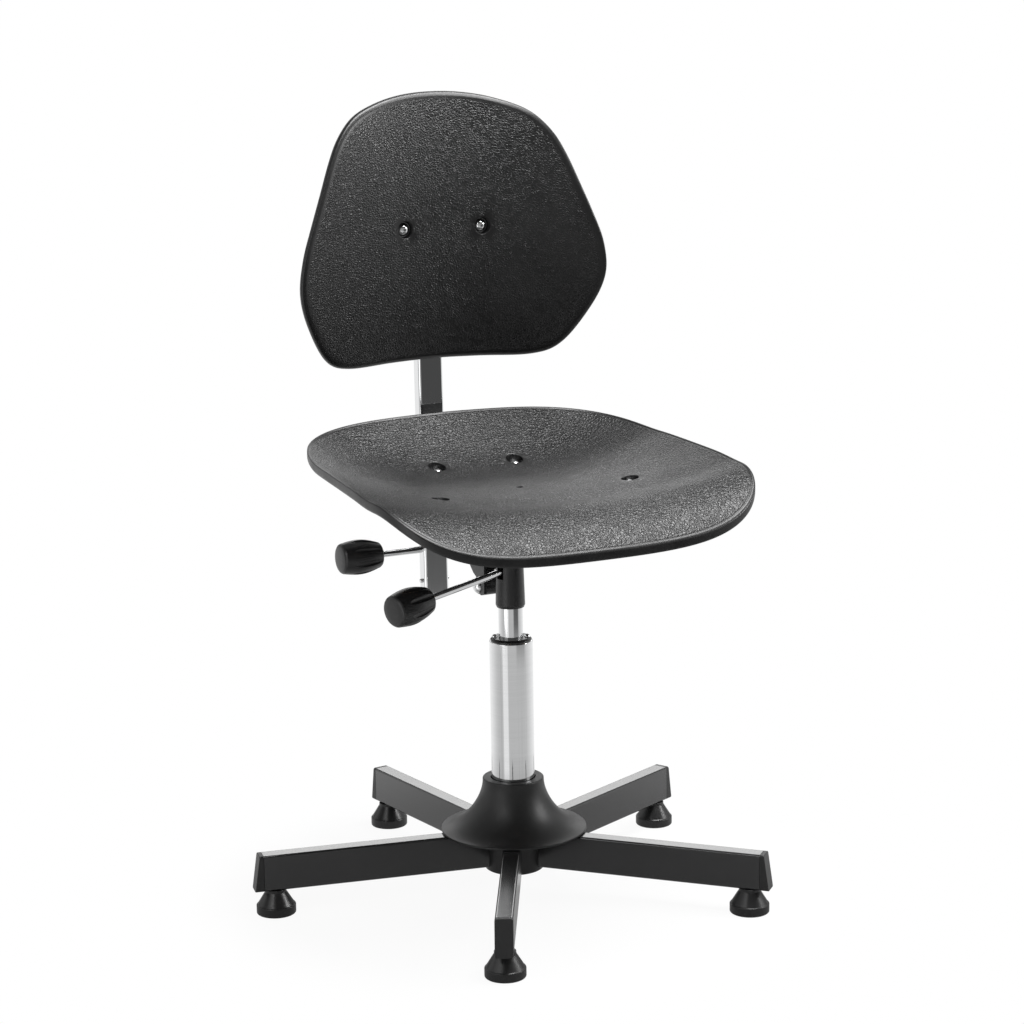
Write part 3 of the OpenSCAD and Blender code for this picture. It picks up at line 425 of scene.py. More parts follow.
@dataclass(frozen=True)
class TurnedSteel(Finish):
    """Steel that was ground or polished on a lathe, so its fine marks run round the Z axis.

    Attributes:
        marks: Marks per metre of height.
        cut: Depth of the marks.
        drawn: How dark the lines are that run along the tube, 0 to 1.
    """

    marks: float = 2600.0
    cut: float = 0.012 * MM
    drawn: float = 0.0

    def surface(self, recipe: Recipe) -> dict[str, Wire]:
        """Draws rings of grinding marks, lines along the tube and a faint cloud of handling.

        Args:
            recipe: The material's recipe.

        Returns:
            The wires that change over the surface.
        """
        place = recipe.place()
        rings = recipe.noise(place, (18.0, 18.0, self.marks), 3.0, 0.6)
        broad = recipe.noise(place, (4.0, 4.0, 90.0), 2.0)
        cloud = recipe.noise(place, 14.0, 4.0, 0.6)
        lines = recipe.noise(place, (420.0, 420.0, 1.5), 1.0).span(0.6, 0.72)
        shine = rings.span(0.3, 0.7) * 0.3 + broad.span(0.35, 0.65) * 0.1 + 0.4 - lines * self.drawn
        tone = recipe.blend(shine.most(0.0), rgba(self.colour, 0.8), rgba(self.colour))
        rough = self.roughness + rings.span(0.3, 0.7, -0.01, 0.015) + cloud.span(0.45, 0.75) * 0.03
        return {"Base Color": tone, "Roughness": rough, "Normal": recipe.bump(rings, self.cut, 0.5)}


@dataclass(frozen=True)
class Plated(Finish):
    """Chrome or zinc on steel: mirror-like, with fine polishing lines and a faint haze.

    Attributes:
        grain: Scale of the polishing lines along X, Y and Z.
        haze: How much the haze dulls the mirror.
        relief: Depth of the lines and ripples.
    """

    grain: tuple[float, float, float] = (900.0, 900.0, 40.0)
    haze: float = 0.05
    relief: float = 0.01 * MM

    def surface(self, recipe: Recipe) -> dict[str, Wire]:
        """Draws polishing lines, ripples and patches of haze.

        Args:
            recipe: The material's recipe.

        Returns:
            The wires that change over the surface.
        """
        place = recipe.place()
        lines = recipe.noise(place, self.grain, 2.0)
        cloud = recipe.noise(place, 22.0, 4.0, 0.65)
        ripple = recipe.noise(place, 60.0, 1.0)
        tone = recipe.blend(cloud.span(0.5, 0.8) * 0.4, rgba(self.colour), rgba(self.colour, 0.82))
        rough = self.roughness + cloud.span(0.4, 0.75) * self.haze + lines.span(0.4, 0.8) * 0.03
        height = lines * 0.3 + ripple * 0.7
        return {"Base Color": tone, "Roughness": rough, "Normal": recipe.bump(height, self.relief, 0.5)}


@dataclass(frozen=True)
class Plywood(Finish):
    """Stained beech ply: straight grain on the faces, short dark pores.

    Attributes:
        relief: Depth of the grain and pores.
    """

    relief: float = 0.08 * MM

    def surface(self, recipe: Recipe) -> dict[str, Wire]:
        """Draws grain and flecks and their relief.

        Args:
            recipe: The material's recipe.

        Returns:
            The wires that change over the surface.
        """
        place = recipe.warp(recipe.place(), 12.0, 4 * MM)
        grain = recipe.noise(place, (9.0, 160.0, 160.0), 4.0, 0.6)
        flecks = recipe.noise(place, (160.0, 1500.0, 1500.0), 1.0).span(0.62, 0.7)
        tone = recipe.blend(grain.span(0.3, 0.7) * 0.6 + flecks * 0.4, rgba(self.colour),
                            rgba(self.colour, 0.55))
        return {"Base Color": tone, "Normal": recipe.bump(grain - flecks * 0.5, self.relief, 0.6)}


FINISHES: dict[Slot, Finish] = {
    finish.slot: finish
    for finish in (
        MouldedSkin(Slot.SKIN, (0.0075, 0.0075, 0.0077), 0.31),
        PowderCoat(Slot.FRAME, (0.011, 0.011, 0.0115), 0.36),
        PowderCoat(Slot.LEG, (0.010, 0.010, 0.0105), 0.24, wave=0.012 * MM, coat=0.8),
        MouldedPlastic(Slot.CAP, (0.011, 0.011, 0.0112), 0.38),
        MouldedPlastic(Slot.COVER, (0.009, 0.009, 0.0092), 0.43, spark=0.9 * MM, pit=0.1 * MM),
        MouldedPlastic(Slot.GRIP, (0.011, 0.011, 0.0112), 0.36),
        MouldedPlastic(Slot.LINER, (0.02, 0.02, 0.021), 0.45),
        MouldedPlastic(Slot.GLIDE, (0.009, 0.009, 0.0092), 0.35, pit=0.02 * MM),
        MouldedPlastic(Slot.RING, (0.009, 0.009, 0.0092), 0.24, pit=0.02 * MM),
        TurnedSteel(Slot.COLUMN, (0.82, 0.825, 0.83), 0.075, 1.0, cut=0.006 * MM, drawn=0.3),
        TurnedSteel(Slot.TUBE, (0.78, 0.785, 0.79), 0.07, 1.0, marks=5200.0, cut=0.005 * MM),
        Plated(Slot.ZINC, (0.66, 0.67, 0.68), 0.27, 1.0, haze=0.1),
        Plated(Slot.CHROME, (0.8, 0.805, 0.81), 0.07, 1.0),
        Plated(Slot.BRASS, (0.72, 0.53, 0.24), 0.25, 1.0, haze=0.12),
        MouldedPlastic(Slot.RUBBER, (0.014, 0.014, 0.014), 0.7),
        Plywood(Slot.BOARD, (0.16, 0.095, 0.045), 0.6),
    )
}


# Meshes


def placed(name: str, data: bpy.types.ID) -> bpy.types.Object:
    """Makes an object of a mesh, a lamp or a camera, and puts it into the scene.

    Args:
        name: Name of the object.
        data: What it shows.

    Returns:
        The new object.
    """
    made = bpy.data.objects.new(name, data)
    bpy.context.scene.collection.objects.link(made)
    return made


def finished(mesh: bmesh.types.BMesh, name: str, slot: Slot, body: str,
             sharp: float = 34.0) -> bpy.types.Object:
    """Makes an object at the origin from a finished mesh and lets it ride on a body.

    Args:
        mesh: The finished bmesh, which is freed.
        name: Name of the piece.
        slot: Finish of the piece.
        body: CAD body that it moves with.
        sharp: Edges that turn by more than this many degrees stay sharp.

    Returns:
        The new object.
    """
    data = bpy.data.meshes.new(name)
    for face in mesh.faces:
        face.smooth = True
    mesh.to_mesh(data)
    mesh.free()
    data.set_sharp_from_angle(angle=math.radians(sharp))
    data.materials.append(FINISHES[slot].material())
    piece = placed(name, data)
    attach(piece, body)
    LOG.info("%s: %d faces, rides on %s", name, len(data.polygons), body)
    return piece


def moulded(mesh: bmesh.types.BMesh, name: str, body: str) -> bpy.types.Object:
    """Makes a soft piece with a smooth skin from a closed cage.

    Args:
        mesh: The cage, which is freed.
        name: Name of the piece.
        body: CAD body that it moves with.

    Returns:
        The new object.
    """
    bmesh.ops.recalc_face_normals(mesh, faces=mesh.faces)
    piece = finished(mesh, name, Slot.SKIN, body, ALL_SMOOTH)
    smooth = piece.modifiers.new("smooth skin", "SUBSURF")
    smooth.levels = smooth.render_levels = SKIN_LEVELS
    return piece


def next_ring(mesh: bmesh.types.BMesh, edges: Iterable[bmesh.types.BMEdge], move: Move) -> Loop:
    """Extrudes an open edge loop by one ring.

    Args:
        mesh: The mesh.
        edges: The loop's edges.
        move: Gives a new vertex's place; the vertex still has its old place and its layers.

    Returns:
        The edges of the new loop.
    """
    made = bmesh.ops.extrude_edge_only(mesh, edges=list(edges))["geom"]
    verts = {item for item in made if isinstance(item, bmesh.types.BMVert)}
    for vert, place in [(vert, move(vert)) for vert in verts]:
        vert.co = place
    return [item for item in made if isinstance(item, bmesh.types.BMEdge) and set(item.verts) <= verts]


def rim_edges(mesh: bmesh.types.BMesh) -> Loop:
    """Returns the mesh's open edges."""
    return [edge for edge in mesh.edges if edge.is_boundary]


def verts_of(edges: Iterable[bmesh.types.BMEdge]) -> set[bmesh.types.BMVert]:
    """Returns the vertices of some edges."""
    return {vert for edge in edges for vert in edge.verts}


def paint(verts: Iterable[bmesh.types.BMVert], layer: Any, value: float) -> None:
    """Writes one value to a layer of some vertices."""
    for vert in verts:
        vert[layer] = value


@dataclass(frozen=True)
class BoardPocket:
    """The pocket of a moulding for its carrier board, whose outline is a rounded rectangle.

    Attributes:
        centre: The board's middle, in the plane of its faces.
        half: Half its width and half its length.
        corner: Radius of its corners.
        axis: What its thickness is along, 1 for Y and 2 for Z.
    """

    centre: tuple[float, float]
    half: tuple[float, float]
    corner: float
    axis: int

    def reach(self, point: Vector, grow: float) -> Vector:
        """Finds where the way from the board's middle to a point leaves its outline.

        Args:
            point: A point outside the outline, in its plane.
            grow: How far the outline is moved outwards.

        Returns:
            The outline's point.
        """
        centre = Vector((*self.centre, 0.0))
        ray = (point - centre).normalized()
        wide, long = self.half[0] + grow, self.half[1] + grow
        low, high = 0.0, 2 * max(wide, long)
        for _ in range(HALVINGS):
            middle = (low + high) / 2
            over = Vector((abs(ray.x) * middle - wide + self.corner,
                           abs(ray.y) * middle - long + self.corner))
            round_part = Vector((max(over.x, 0.0), max(over.y, 0.0))).length
            outside = round_part + min(max(over), 0.0) - self.corner
            low, high = (low, middle) if outside > 0 else (middle, high)
        return centre + ray * low

    def sink(self, mesh: bmesh.types.BMesh, loop: Loop, rings: Iterable[tuple[float, float]]) -> None:
        """Steps a moulding in round the board, and closes it over the board.

        Args:
            mesh: The moulding.
            loop: Its open loop round the board.
            rings: The loops that follow: how far each lies outside the board, and its level.
        """
        across = 3 - self.axis
        for grow, level in rings:
            def move(vert: bmesh.types.BMVert) -> Vector:
                """Places a vertex on the ring.

                Args:
                    vert: The vertex.

                Returns:
                    Its place.
                """
                edge = self.reach(Vector((vert.co.x, vert.co[across], 0.0)), grow)
                place = Vector((edge.x, 0.0, 0.0))
                place[across], place[self.axis] = edge.y, level
                return place

            loop = next_ring(mesh, loop, move)
        bmesh.ops.edgeloop_fill(mesh, edges=loop)


@dataclass
class Well:
    """A round recess or hole in a moulded surface.

    Attributes:
        centre: Its axis in the surface's own two coordinates.
        radius: Radius of its wall.
        reach: Half the size of the patch of faces that it takes the place of.
        lip: Radius of the rounding where the wall meets the surface.
        wall: Places a point at angle, radius and depth below the surface.
        floor: Places a point at angle and radius on the floor of the well.
        segments: Least number of sides.
        lip_rings: Rings of the rounding, as shares of its radius outwards and down.
        floor_rings: Rings of the floor, as shares of the wall's radius.
        smooth_reach: How far the grain stops short of the wall, in lips.
    """

    centre: tuple[float, float]
    radius: float
    reach: float
    lip: float
    wall: Callable[[float, float, float], Vector]
    floor: Callable[[float, float], Vector]
    segments: int = 24
    lip_rings: tuple[tuple[float, float], ...] = ((0.55, 0.05), (0.2, 0.25), (0.03, 0.65), (0.0, 1.3))
    floor_rings: tuple[float, ...] = (1.0, 0.97, 0.5)
    smooth_reach: float = 0.6

    def sink(self, mesh: bmesh.types.BMesh, flat: Callable[[Vector], tuple[float, float]]) -> None:
        """Cuts the well into the mesh.

        Args:
            mesh: Mesh of the surface.
            flat: Gives the surface's own two coordinates of a point.
        """
        def near(point: Vector, reach: float) -> bool:
            """Tells whether a point lies in the square patch round the axis."""
            a, b = flat(point)
            return max(abs(a - self.centre[0]), abs(b - self.centre[1])) < reach

        def hole() -> Loop:
            """Returns the open edges that the patch leaves."""
            return [edge for edge in rim_edges(mesh)
                    if all(near(vert.co, 2 * self.reach) for vert in edge.verts)]

        def angle_of(vert: bmesh.types.BMVert) -> float:
            """Returns the angle of a vertex round the axis."""
            a, b = flat(vert.co)
            return math.atan2(b - self.centre[1], a - self.centre[0])

        def key_of(angle: float) -> float:
            """Returns the angle as a vertex and its copy both give it."""
            return round(angle, 5)

        patch = [face for face in mesh.faces if near(face.calc_center_median(), self.reach)]
        bmesh.ops.delete(mesh, geom=patch, context="FACES")
        coarse = hole()
        bmesh.ops.subdivide_edges(mesh, edges=coarse, cuts=math.ceil(self.segments / len(coarse)) - 1)
        open_edges = hole()
        angles = sorted(angle_of(vert) for vert in verts_of(open_edges))
        step = math.tau / len(angles)
        shift = sum(angle - k * step for k, angle in enumerate(angles)) / len(angles)
        even = {key_of(angle): shift + k * step for k, angle in enumerate(angles)}
        loop = next_ring(mesh, open_edges, lambda vert: self.wall(
            even[key_of(angle_of(vert))], self.radius + self.lip, 0.0))
        for out, down in self.lip_rings:
            loop = next_ring(mesh, loop, lambda vert: self.wall(
                angle_of(vert), self.radius + out * self.lip, down * self.lip))
        for share in self.floor_rings:
            loop = next_ring(mesh, loop, lambda vert: self.floor(angle_of(vert), share * self.radius))
        grain = mesh.verts.layers.float["grain"]
        # Grain 0 paints the well's wall and floor, and the skin just round it, with the skin's darker
        # tone: painted shade in the recess.
        paint(verts_of(loop), grain, 0.0)
        bmesh.ops.edgeloop_fill(mesh, edges=loop)
        smooth = self.radius + self.smooth_reach * self.lip
        paint((vert for vert in mesh.verts if near(vert.co, smooth)), grain, 0.0)
        LOG.info("well at %.3f, %.3f: %d segments", *self.centre, len(angles))


@dataclass
class DishedSeat:
    """The moulded foam seat, with the carrier board let into its underside.

    The numbers are the CAD model's: sides that rise, a rear edge that rises more, and a front
    edge that falls away under the sitter's thighs.

    Attributes:
        half: Half its width.
        front, rear: How far it reaches in front of and behind the swivel axis.
        height: Height of the sitting surface in the middle.
        underside: Height of its flat underside.
        lip: Thickness of the rim.
        side_rise, side_power: How much the sides rise, and how late they do.
        side_growth: How much more they rise to the rear.
        rear_rise, rear_power: How much the rear rises, and how late it does.
        corner_dip: How much less the rear corners rise.
        front_fall: How much the front falls.
        rise_from, fall_from: Distances from the axis where the rise and the fall begin.
        front_corner, rear_corner: Powers of the outline; a higher one is squarer.
        widen: How much wider it is at the front than in the middle.
        recess: Depth of the screw recesses.
        screws, vent: Places of the screws and of the vent hole.
        screw_well, vent_well: Radius, half patch and lip of the wells there.
        pocket: The carrier board's.
        board_top: Height of the board's upper face.
        vent_floor: How far the vent's floor is above the board.
        cells: Faces across and along the grid of the sitting surface.
        inner: Share of the outline that the grid fills.
        dip_y, dip_width, dip: Place, width and depth of the slight dip before the fall.
    """

    half: float = 224 * MM
    front: float = 226 * MM
    rear: float = 166 * MM
    height: float = 480 * MM
    underside: float = 449 * MM
    lip: float = 11.5 * MM
    side_rise: float = 35 * MM
    side_power: float = 2.5
    side_growth: float = 0.56
    rear_rise: float = 60 * MM
    rear_power: float = 1.83
    corner_dip: float = 35 * MM
    front_fall: float = 37 * MM
    rise_from: float = 37 * MM
    fall_from: float = 140 * MM
    front_corner: float = 4.6
    rear_corner: float = 3.9
    widen: float = 0.053
    recess: float = 9 * MM
    screws: tuple[tuple[float, float], ...] = (
        (-118 * MM, -71 * MM), (118 * MM, -71 * MM), (-50 * MM, 84 * MM), (50 * MM, 84 * MM))
    screw_well: tuple[float, float, float] = (10 * MM, 17 * MM, 1.0 * MM)
    vent: tuple[float, float] = (0.0, -28 * MM)
    vent_well: tuple[float, float, float] = (4 * MM, 9.5 * MM, 1.2 * MM)
    vent_floor: float = 0.5 * MM
    pocket: BoardPocket = BoardPocket((0.0, -12 * MM), (128.2 * MM, 106.2 * MM), 40.2 * MM, 2)
    board_top: float = 455.3 * MM
    cells: tuple[int, int] = (38, 34)
    inner: float = 0.925
    dip_y: float = -117 * MM
    dip_width: float = 20 * MM
    dip: float = 2.0 * MM

    def top(self, x: float, y: float) -> float:
        """Works out the sitting surface.

        Args:
            x: Distance to the sitter's left of the swivel axis.
            y: Distance behind it.

        Returns:
            The surface's height there.
        """
        u = abs(x) / self.half
        r = max(0.0, (y - self.rise_from) / (self.rear - self.rise_from))
        f = max(0.0, (-self.fall_from - y) / (self.front - self.fall_from))
        side = self.side_rise * u**self.side_power * (1 + self.side_growth * y / self.half)
        back = self.rear_rise * r**self.rear_power - self.corner_dip * u * u * r * r
        dip = self.dip * math.exp(-((y - self.dip_y) / self.dip_width) ** 2) * (1 - 0.4 * u * u)
        return self.height + side + back - self.front_fall * f * f - dip

    def share(self, u: float, v: float) -> Vector:
        """Returns the outline's point in the direction of a point of the unit square.

        Args:
            u: The square's coordinate to the side.
            v: The square's coordinate to the rear.

        Returns:
            The outline's point as shares of half the width and half the length.
        """
        power = self.front_corner if v < 0 else self.rear_corner
        length = (abs(u) ** power + abs(v) ** power) ** (1 / power)
        return Vector((u / length, v / length, 0.0)) if length else Vector()

    def flat(self, share: Vector, s: float) -> tuple[float, float]:
        """Returns x and y of an outline share drawn in to the share s."""
        middle, length = (self.rear - self.front) / 2, (self.rear + self.front) / 2
        return s * self.half * share.x * (1 - self.widen * share.y), middle + s * length * share.y

    def build(self) -> bpy.types.Object:
        """Builds the seat pad and lets it stand for the CAD's.

        Returns:
            The pad.
        """
        mesh = bmesh.new()
        grain = mesh.verts.layers.float.new("grain")
        share = mesh.verts.layers.float_vector.new("share")
        bmesh.ops.create_grid(mesh, x_segments=self.cells[0], y_segments=self.cells[1], size=1.0)
        for vert in mesh.verts:
            u, v = vert.co.x, vert.co.y
            vert[share] = self.share(u, v)
            x, y = self.flat(vert[share], self.inner * max(abs(u), abs(v)))
            vert.co = (x, y, self.top(x, y))
        paint(mesh.verts, grain, 1.0)
        loop = self._underside(mesh, self._rim(mesh, rim_edges(mesh), share, grain), share)
        self.pocket.sink(mesh, loop, (
            (2 * MM, self.underside), (0.3 * MM, self.underside), (0.0, self.underside + 0.5 * MM),
            (0.0, self.board_top - 0.5 * MM), (-0.6 * MM, self.board_top)))

        def flat(point: Vector) -> tuple[float, float]:
            """Returns x and y of a point of the sitting surface, and a far place for the underside."""
            return (point.x, point.y) if point.z > self.board_top + 0.2 * MM else ELSEWHERE

        for centre in self.screws:
            self._well(centre, self.screw_well, self.top(*centre) - self.recess).sink(mesh, flat)
        self._well(self.vent, self.vent_well, self.board_top + self.vent_floor).sink(mesh, flat)
        pad = moulded(mesh, "seat_moulding", "lift")
        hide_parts("seat_pad")
        return pad

    def _rim(self, mesh: bmesh.types.BMesh, loop: Loop, share: Any, grain: Any) -> Loop:
        """Carries the top over the rim with a tight upper rounding and a plain side band.

        Args:
            mesh: The seat.
            loop: The edge of the sitting surface.
            share: Layer of the outline's shares.
            grain: Layer of the grain's strength.

        Returns:
            The lower edge of the rim.
        """
        rings = [(0.945, 0.0, 1.0), (0.962, 0.0, 1.0), (0.973, 0.0, 1.0), (0.979, 0.004, 0.3),
                 (0.9815, 0.035, 0.0), (0.9845, 0.038, 0.0), (0.987, 0.008, 0.0), (0.9915, 0.0, 0.0),
                 (0.9957, 0.021, 0.0), (0.9989, 0.078, 0.0), (1.0, 0.157, 0.0), (1.0, 0.45, 0.0),
                 (1.0, 0.76, 0.0), (0.9966, 0.94, 0.0), (0.988, 1.0, 0.0), (0.97, 1.0, 0.0)]
        # Mask 0 on the rounding and the side band also gives them the skin's darker tone: painted shade
        # along the rim.
        for s, drop, mask in rings:
            def move(vert: bmesh.types.BMVert) -> Vector:
                """Places a vertex on the ring."""
                x, y = self.flat(vert[share], s)
                return Vector((x, y, self.top(x, y) - drop * self.lip))

            loop = next_ring(mesh, loop, move)
            paint(verts_of(loop), grain, mask)
        return loop

    def _underside(self, mesh: bmesh.types.BMesh, loop: Loop, share: Any) -> Loop:
        """Runs the underside in from the rim to the flat.

        Args:
            mesh: The seat.
            loop: The lower edge of the rim.
            share: Layer of the outline's shares.

        Returns:
            The edge of the flat.
        """
        rings = [(0.95, 1.0), (0.905, 1.0), (0.86, 0.98), (0.82, 0.87), (0.785, 0.68), (0.76, 0.4),
                 (0.74, 0.18), (0.72, 0.05), (0.705, 0.0)]
        for s, blend in rings:
            def move(vert: bmesh.types.BMVert) -> Vector:
                """Places a vertex on the ring.

                Args:
                    vert: The vertex.

                Returns:
                    Its place.
                """
                x, y = self.flat(vert[share], s)
                low = self.top(x, y) - self.lip
                z = min(low, self.underside + blend * max(0.0, low - self.underside))
                return Vector((x * (0.88 + 0.12 * blend), y, z))

            loop = next_ring(mesh, loop, move)
        return loop

    def _well(self, centre: tuple[float, float], size: tuple[float, float, float], floor: float) -> Well:
        """Describes a recess of the sitting surface.

        Args:
            centre: Its place.
            size: Its radius, half patch and lip.
            floor: Height of its floor.

        Returns:
            The recess.
        """
        def spot(angle: float, r: float) -> tuple[float, float]:
            """Returns x and y at an angle and radius."""
            return centre[0] + r * math.cos(angle), centre[1] + r * math.sin(angle)

        def wall(angle: float, r: float, down: float) -> Vector:
            """Places a point of the wall."""
            x, y = spot(angle, r)
            return Vector((x, y, self.top(x, y) - down))

        return Well(centre, *size, wall, lambda angle, r: Vector((*spot(angle, r), floor)))


@dataclass
class WrappedBackrest:
    """The moulded foam backrest: wrapped round the sitter, with a flat boss for its board.

    Attributes:
        half_w, high: Half its width, and its height.
        screw_x, screw_z: Half the distance of its screws, and their height.
        middle_z: Height of its outline's middle.
        depth_at: How far its middle surface is behind the swivel axis at the screws.
        thick, lip: Thickness in the middle and at the rim.
        wrap: How far the sides come forwards.
        slope: How much it leans forwards.
        bow: How far the top and the bottom go back.
        recess: Depth of the screw recesses.
        screw_well: Their radius, half patch and lip.
        pocket: The carrier board's.
        board_t: How deep the board is let in.
        cells: Faces across and up the grid of the front.
        inner: Share of the outline that the grid fills.
        half_outline: Marks of the outline's right half in mm, from the top to the bottom.
        steps: Points between two marks, and points of the whole outline once it is evened.
    """

    half_w: float = 196 * MM
    high: float = 316 * MM
    screw_x: float = 49.7 * MM
    screw_z: float = 757 * MM
    middle_z: float = 737 * MM
    depth_at: float = 174 * MM
    thick: float = 28 * MM
    lip: float = 12 * MM
    wrap: float = 56.4 * MM
    slope: float = 0.033
    bow: float = 12.2 * MM
    recess: float = 9 * MM
    screw_well: tuple[float, float, float] = (10 * MM, 17 * MM, 0.9 * MM)
    pocket: BoardPocket = BoardPocket((0.0, 757 * MM), (71.85 * MM, 42.15 * MM), 12.15 * MM, 1)
    board_t: float = 5.2 * MM
    cells: tuple[int, int] = (32, 30)
    inner: float = 0.91
    half_outline: tuple[tuple[float, float], ...] = (
        (0, 177), (36, 175), (72, 168), (111, 153), (136, 129), (151, 102), (165, 68), (181, 28),
        (192, -4), (196, -42), (183, -81), (153, -126), (119, -139), (56, -138), (0, -137))
    steps: tuple[int, int] = (24, 960)
    _loop: list[Vector] = field(default_factory=list)

    def __post_init__(self) -> None:
        """Lays the outline out as points at equal steps along its length."""
        marks = [Vector((x * MM, z * MM)) for x, z in self.half_outline]
        marks += [Vector((-p.x, p.y)) for p in marks[-2:0:-1]]
        between, count = self.steps
        fine = [self._between(marks, i + k / between) for i in range(len(marks)) for k in range(between)]
        lengths = [0.0]
        for a, b in zip(fine, fine[1:] + fine[:1]):
            lengths.append(lengths[-1] + (b - a).length)
        fine.append(fine[0])
        at = 0
        for k in range(count):
            goal = lengths[-1] * k / count
            while lengths[at + 1] < goal:
                at += 1
            share = (goal - lengths[at]) / (lengths[at + 1] - lengths[at])
            self._loop.append(fine[at].lerp(fine[at + 1], share))

    @staticmethod
    def _between(marks: Sequence[Vector], t: float) -> Vector:
        """Draws a smooth closed curve through marks.

        Args:
            marks: The marks.
            t: Number of the mark before the point, and share of the way to the next.

        Returns:
            The curve's point.
        """
        n, i = len(marks), int(t)
        f = t - i
        a, b, c, d = (marks[(i + k) % n] for k in (-1, 0, 1, 2))
        return 0.5 * (2 * b + (c - a) * f + (2 * a - 5 * b + 4 * c - d) * f**2
                      + (3 * b - a - 3 * c + d) * f**3)

    def outline(self, q: float) -> Vector:
        """Finds a point of the outline.

        Args:
            q: Share of its length, from the top to the right.

        Returns:
            The point, from the outline's middle.
        """
        at = (q % 1.0) * len(self._loop)
        i = int(at)
        return self._loop[i % len(self._loop)].lerp(self._loop[(i + 1) % len(self._loop)], at - i)

    def sheet(self, x: float, z: float) -> float:
        """Works out the backrest's middle surface.

        Args:
            x: Distance to the sitter's left.
            z: Height over the floor.

        Returns:
            The surface's y there.
        """
        u, v = x / self.half_w, 2 * (z - self.screw_z) / self.high
        return (self.depth_at - self.slope * (z - self.screw_z) + self.bow * v * v
                - self.wrap * u * u * (1 + 0.158 * v))

    def swell(self, s: float) -> float:
        """Returns half the thickness at share s of the outline."""
        return self.lip / 2 + (self.thick - self.lip) / 2 * (1 - s**3)

    def at(self, q: float, s: float, out: float, flat: float = 0.0) -> Vector:
        """Places a point.

        Args:
            q: Share of the outline's length.
            s: Share of the way from the middle to the outline.
            out: Distance behind the middle surface, negative in front.
            flat: 0 on the curved form, 1 on the flat rear boss.

        Returns:
            The point.
        """
        p = self.outline(q) * s
        z = self.middle_z + p.y
        curved = self.sheet(p.x, z) + out
        return Vector((p.x, curved + flat * (self.depth_at + self.thick / 2 - curved), z))

    @staticmethod
    def _turn(u: float, v: float) -> float:
        """Finds where the ray through a point leaves the unit square.

        Args:
            u: The point's coordinate to the side.
            v: The point's coordinate upwards.

        Returns:
            The share of the square's edge length, from the top to the right.
        """
        s = max(abs(u), abs(v)) or 1.0
        u, v = u / s, v / s
        if v >= 1 - TINY:
            return (u / 8) % 1.0
        if u >= 1 - TINY:
            return 0.25 - v / 8
        if v <= -1 + TINY:
            return 0.5 - u / 8
        return 0.75 + v / 8

    def build(self) -> bpy.types.Object:
        """Builds the backrest pad and lets it stand for the CAD's.

        Returns:
            The pad.
        """
        mesh = bmesh.new()
        grain = mesh.verts.layers.float.new("grain")
        turn = mesh.verts.layers.float.new("turn")
        bmesh.ops.create_grid(mesh, x_segments=self.cells[0], y_segments=self.cells[1], size=1.0)
        for vert in mesh.verts:
            u, v = vert.co.x, vert.co.y
            s = self.inner * max(abs(u), abs(v))
            vert[turn] = self._turn(u, v)
            vert.co = self.at(vert[turn], s, -self.swell(s))
        paint(mesh.verts, grain, 1.0)
        loop = rim_edges(mesh)
        half = self.lip / 2
        front = [(s, -self.swell(s), mask)
                 for s, mask in ((0.935, 1.0), (0.95, 0.6), (0.96, 0.1), (0.97, 0.0))]
        front += [(s, out * half, 0.0) for s, out in (
            (0.98, -0.97), (0.988, -0.86), (0.9945, -0.66), (0.9985, -0.36), (1.0, 0.0),
            (0.9975, 0.4), (0.991, 0.74), (0.98, 0.93), (0.96, 1.0))]
        # Mask 0 on the rim, and on the rear that follows it, also gives the skin its darker tone there:
        # painted shade round the edge.
        for s, out, mask in front:
            loop = next_ring(mesh, loop, lambda vert: self.at(vert[turn], s, out))
            paint(verts_of(loop), grain, mask)
        rear = [(0.93, half, 0.0), (0.87, half + 0.6 * MM, 0.0), (0.8, half + 1.2 * MM, 0.0),
                (0.73, half + 3 * MM, 0.06), (0.66, 0.375 * self.thick, 0.3),
                (0.61, 0.45 * self.thick, 0.72), (0.575, self.thick / 2, 0.95),
                (0.54, self.thick / 2, 1.0)]
        for s, out, flat in rear:
            loop = next_ring(mesh, loop, lambda vert: self.at(vert[turn], s, out, flat))
        boss = self.depth_at + self.thick / 2
        self.pocket.sink(mesh, loop, (
            (4 * MM, boss), (0.4 * MM, boss), (0.0, boss - 0.6 * MM),
            (0.0, boss - self.board_t + 0.5 * MM), (-0.6 * MM, boss - self.board_t)))
        for side in (-1, 1):
            self._well(side * self.screw_x).sink(
                mesh, lambda p: (p.x, p.z) if p.y < self.depth_at - 3 * MM else ELSEWHERE)
        pad = moulded(mesh, "backrest_moulding", "back")
        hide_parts("back_pad")
        return pad

    def _well(self, x: float) -> Well:
        """Describes the recess of a screw.

        Args:
            x: The screw's place.

        Returns:
            The recess.
        """
        floor = self.sheet(x, self.screw_z) - self.thick / 2 + self.recess

        def spot(angle: float, r: float) -> tuple[float, float]:
            """Returns x and z at an angle and radius."""
            return x + r * math.cos(angle), self.screw_z + r * math.sin(angle)

        def wall(angle: float, r: float, down: float) -> Vector:
            """Places a point of the wall.

            Args:
                angle: Its angle round the screw.
                r: Its distance from the screw.
                down: Its depth behind the surface.

            Returns:
                The point.
            """
            px, pz = spot(angle, r)
            ray = Vector((px, pz - self.middle_z))
            s = ray.length / self._edge_distance(ray)
            return Vector((px, self.sheet(px, pz) - self.swell(s) + down, pz))

        def bottom(angle: float, r: float) -> Vector:
            """Places a point of the floor."""
            px, pz = spot(angle, r)
            return Vector((px, floor, pz))

        return Well((x, self.screw_z), *self.screw_well, wall, bottom)

    def _edge_distance(self, ray: Vector) -> float:
        """Returns how far the outline is from the middle in a direction."""
        way = ray.normalized()
        return max(self._loop, key=lambda p: p.normalized().dot(way)).length


# Hard parts


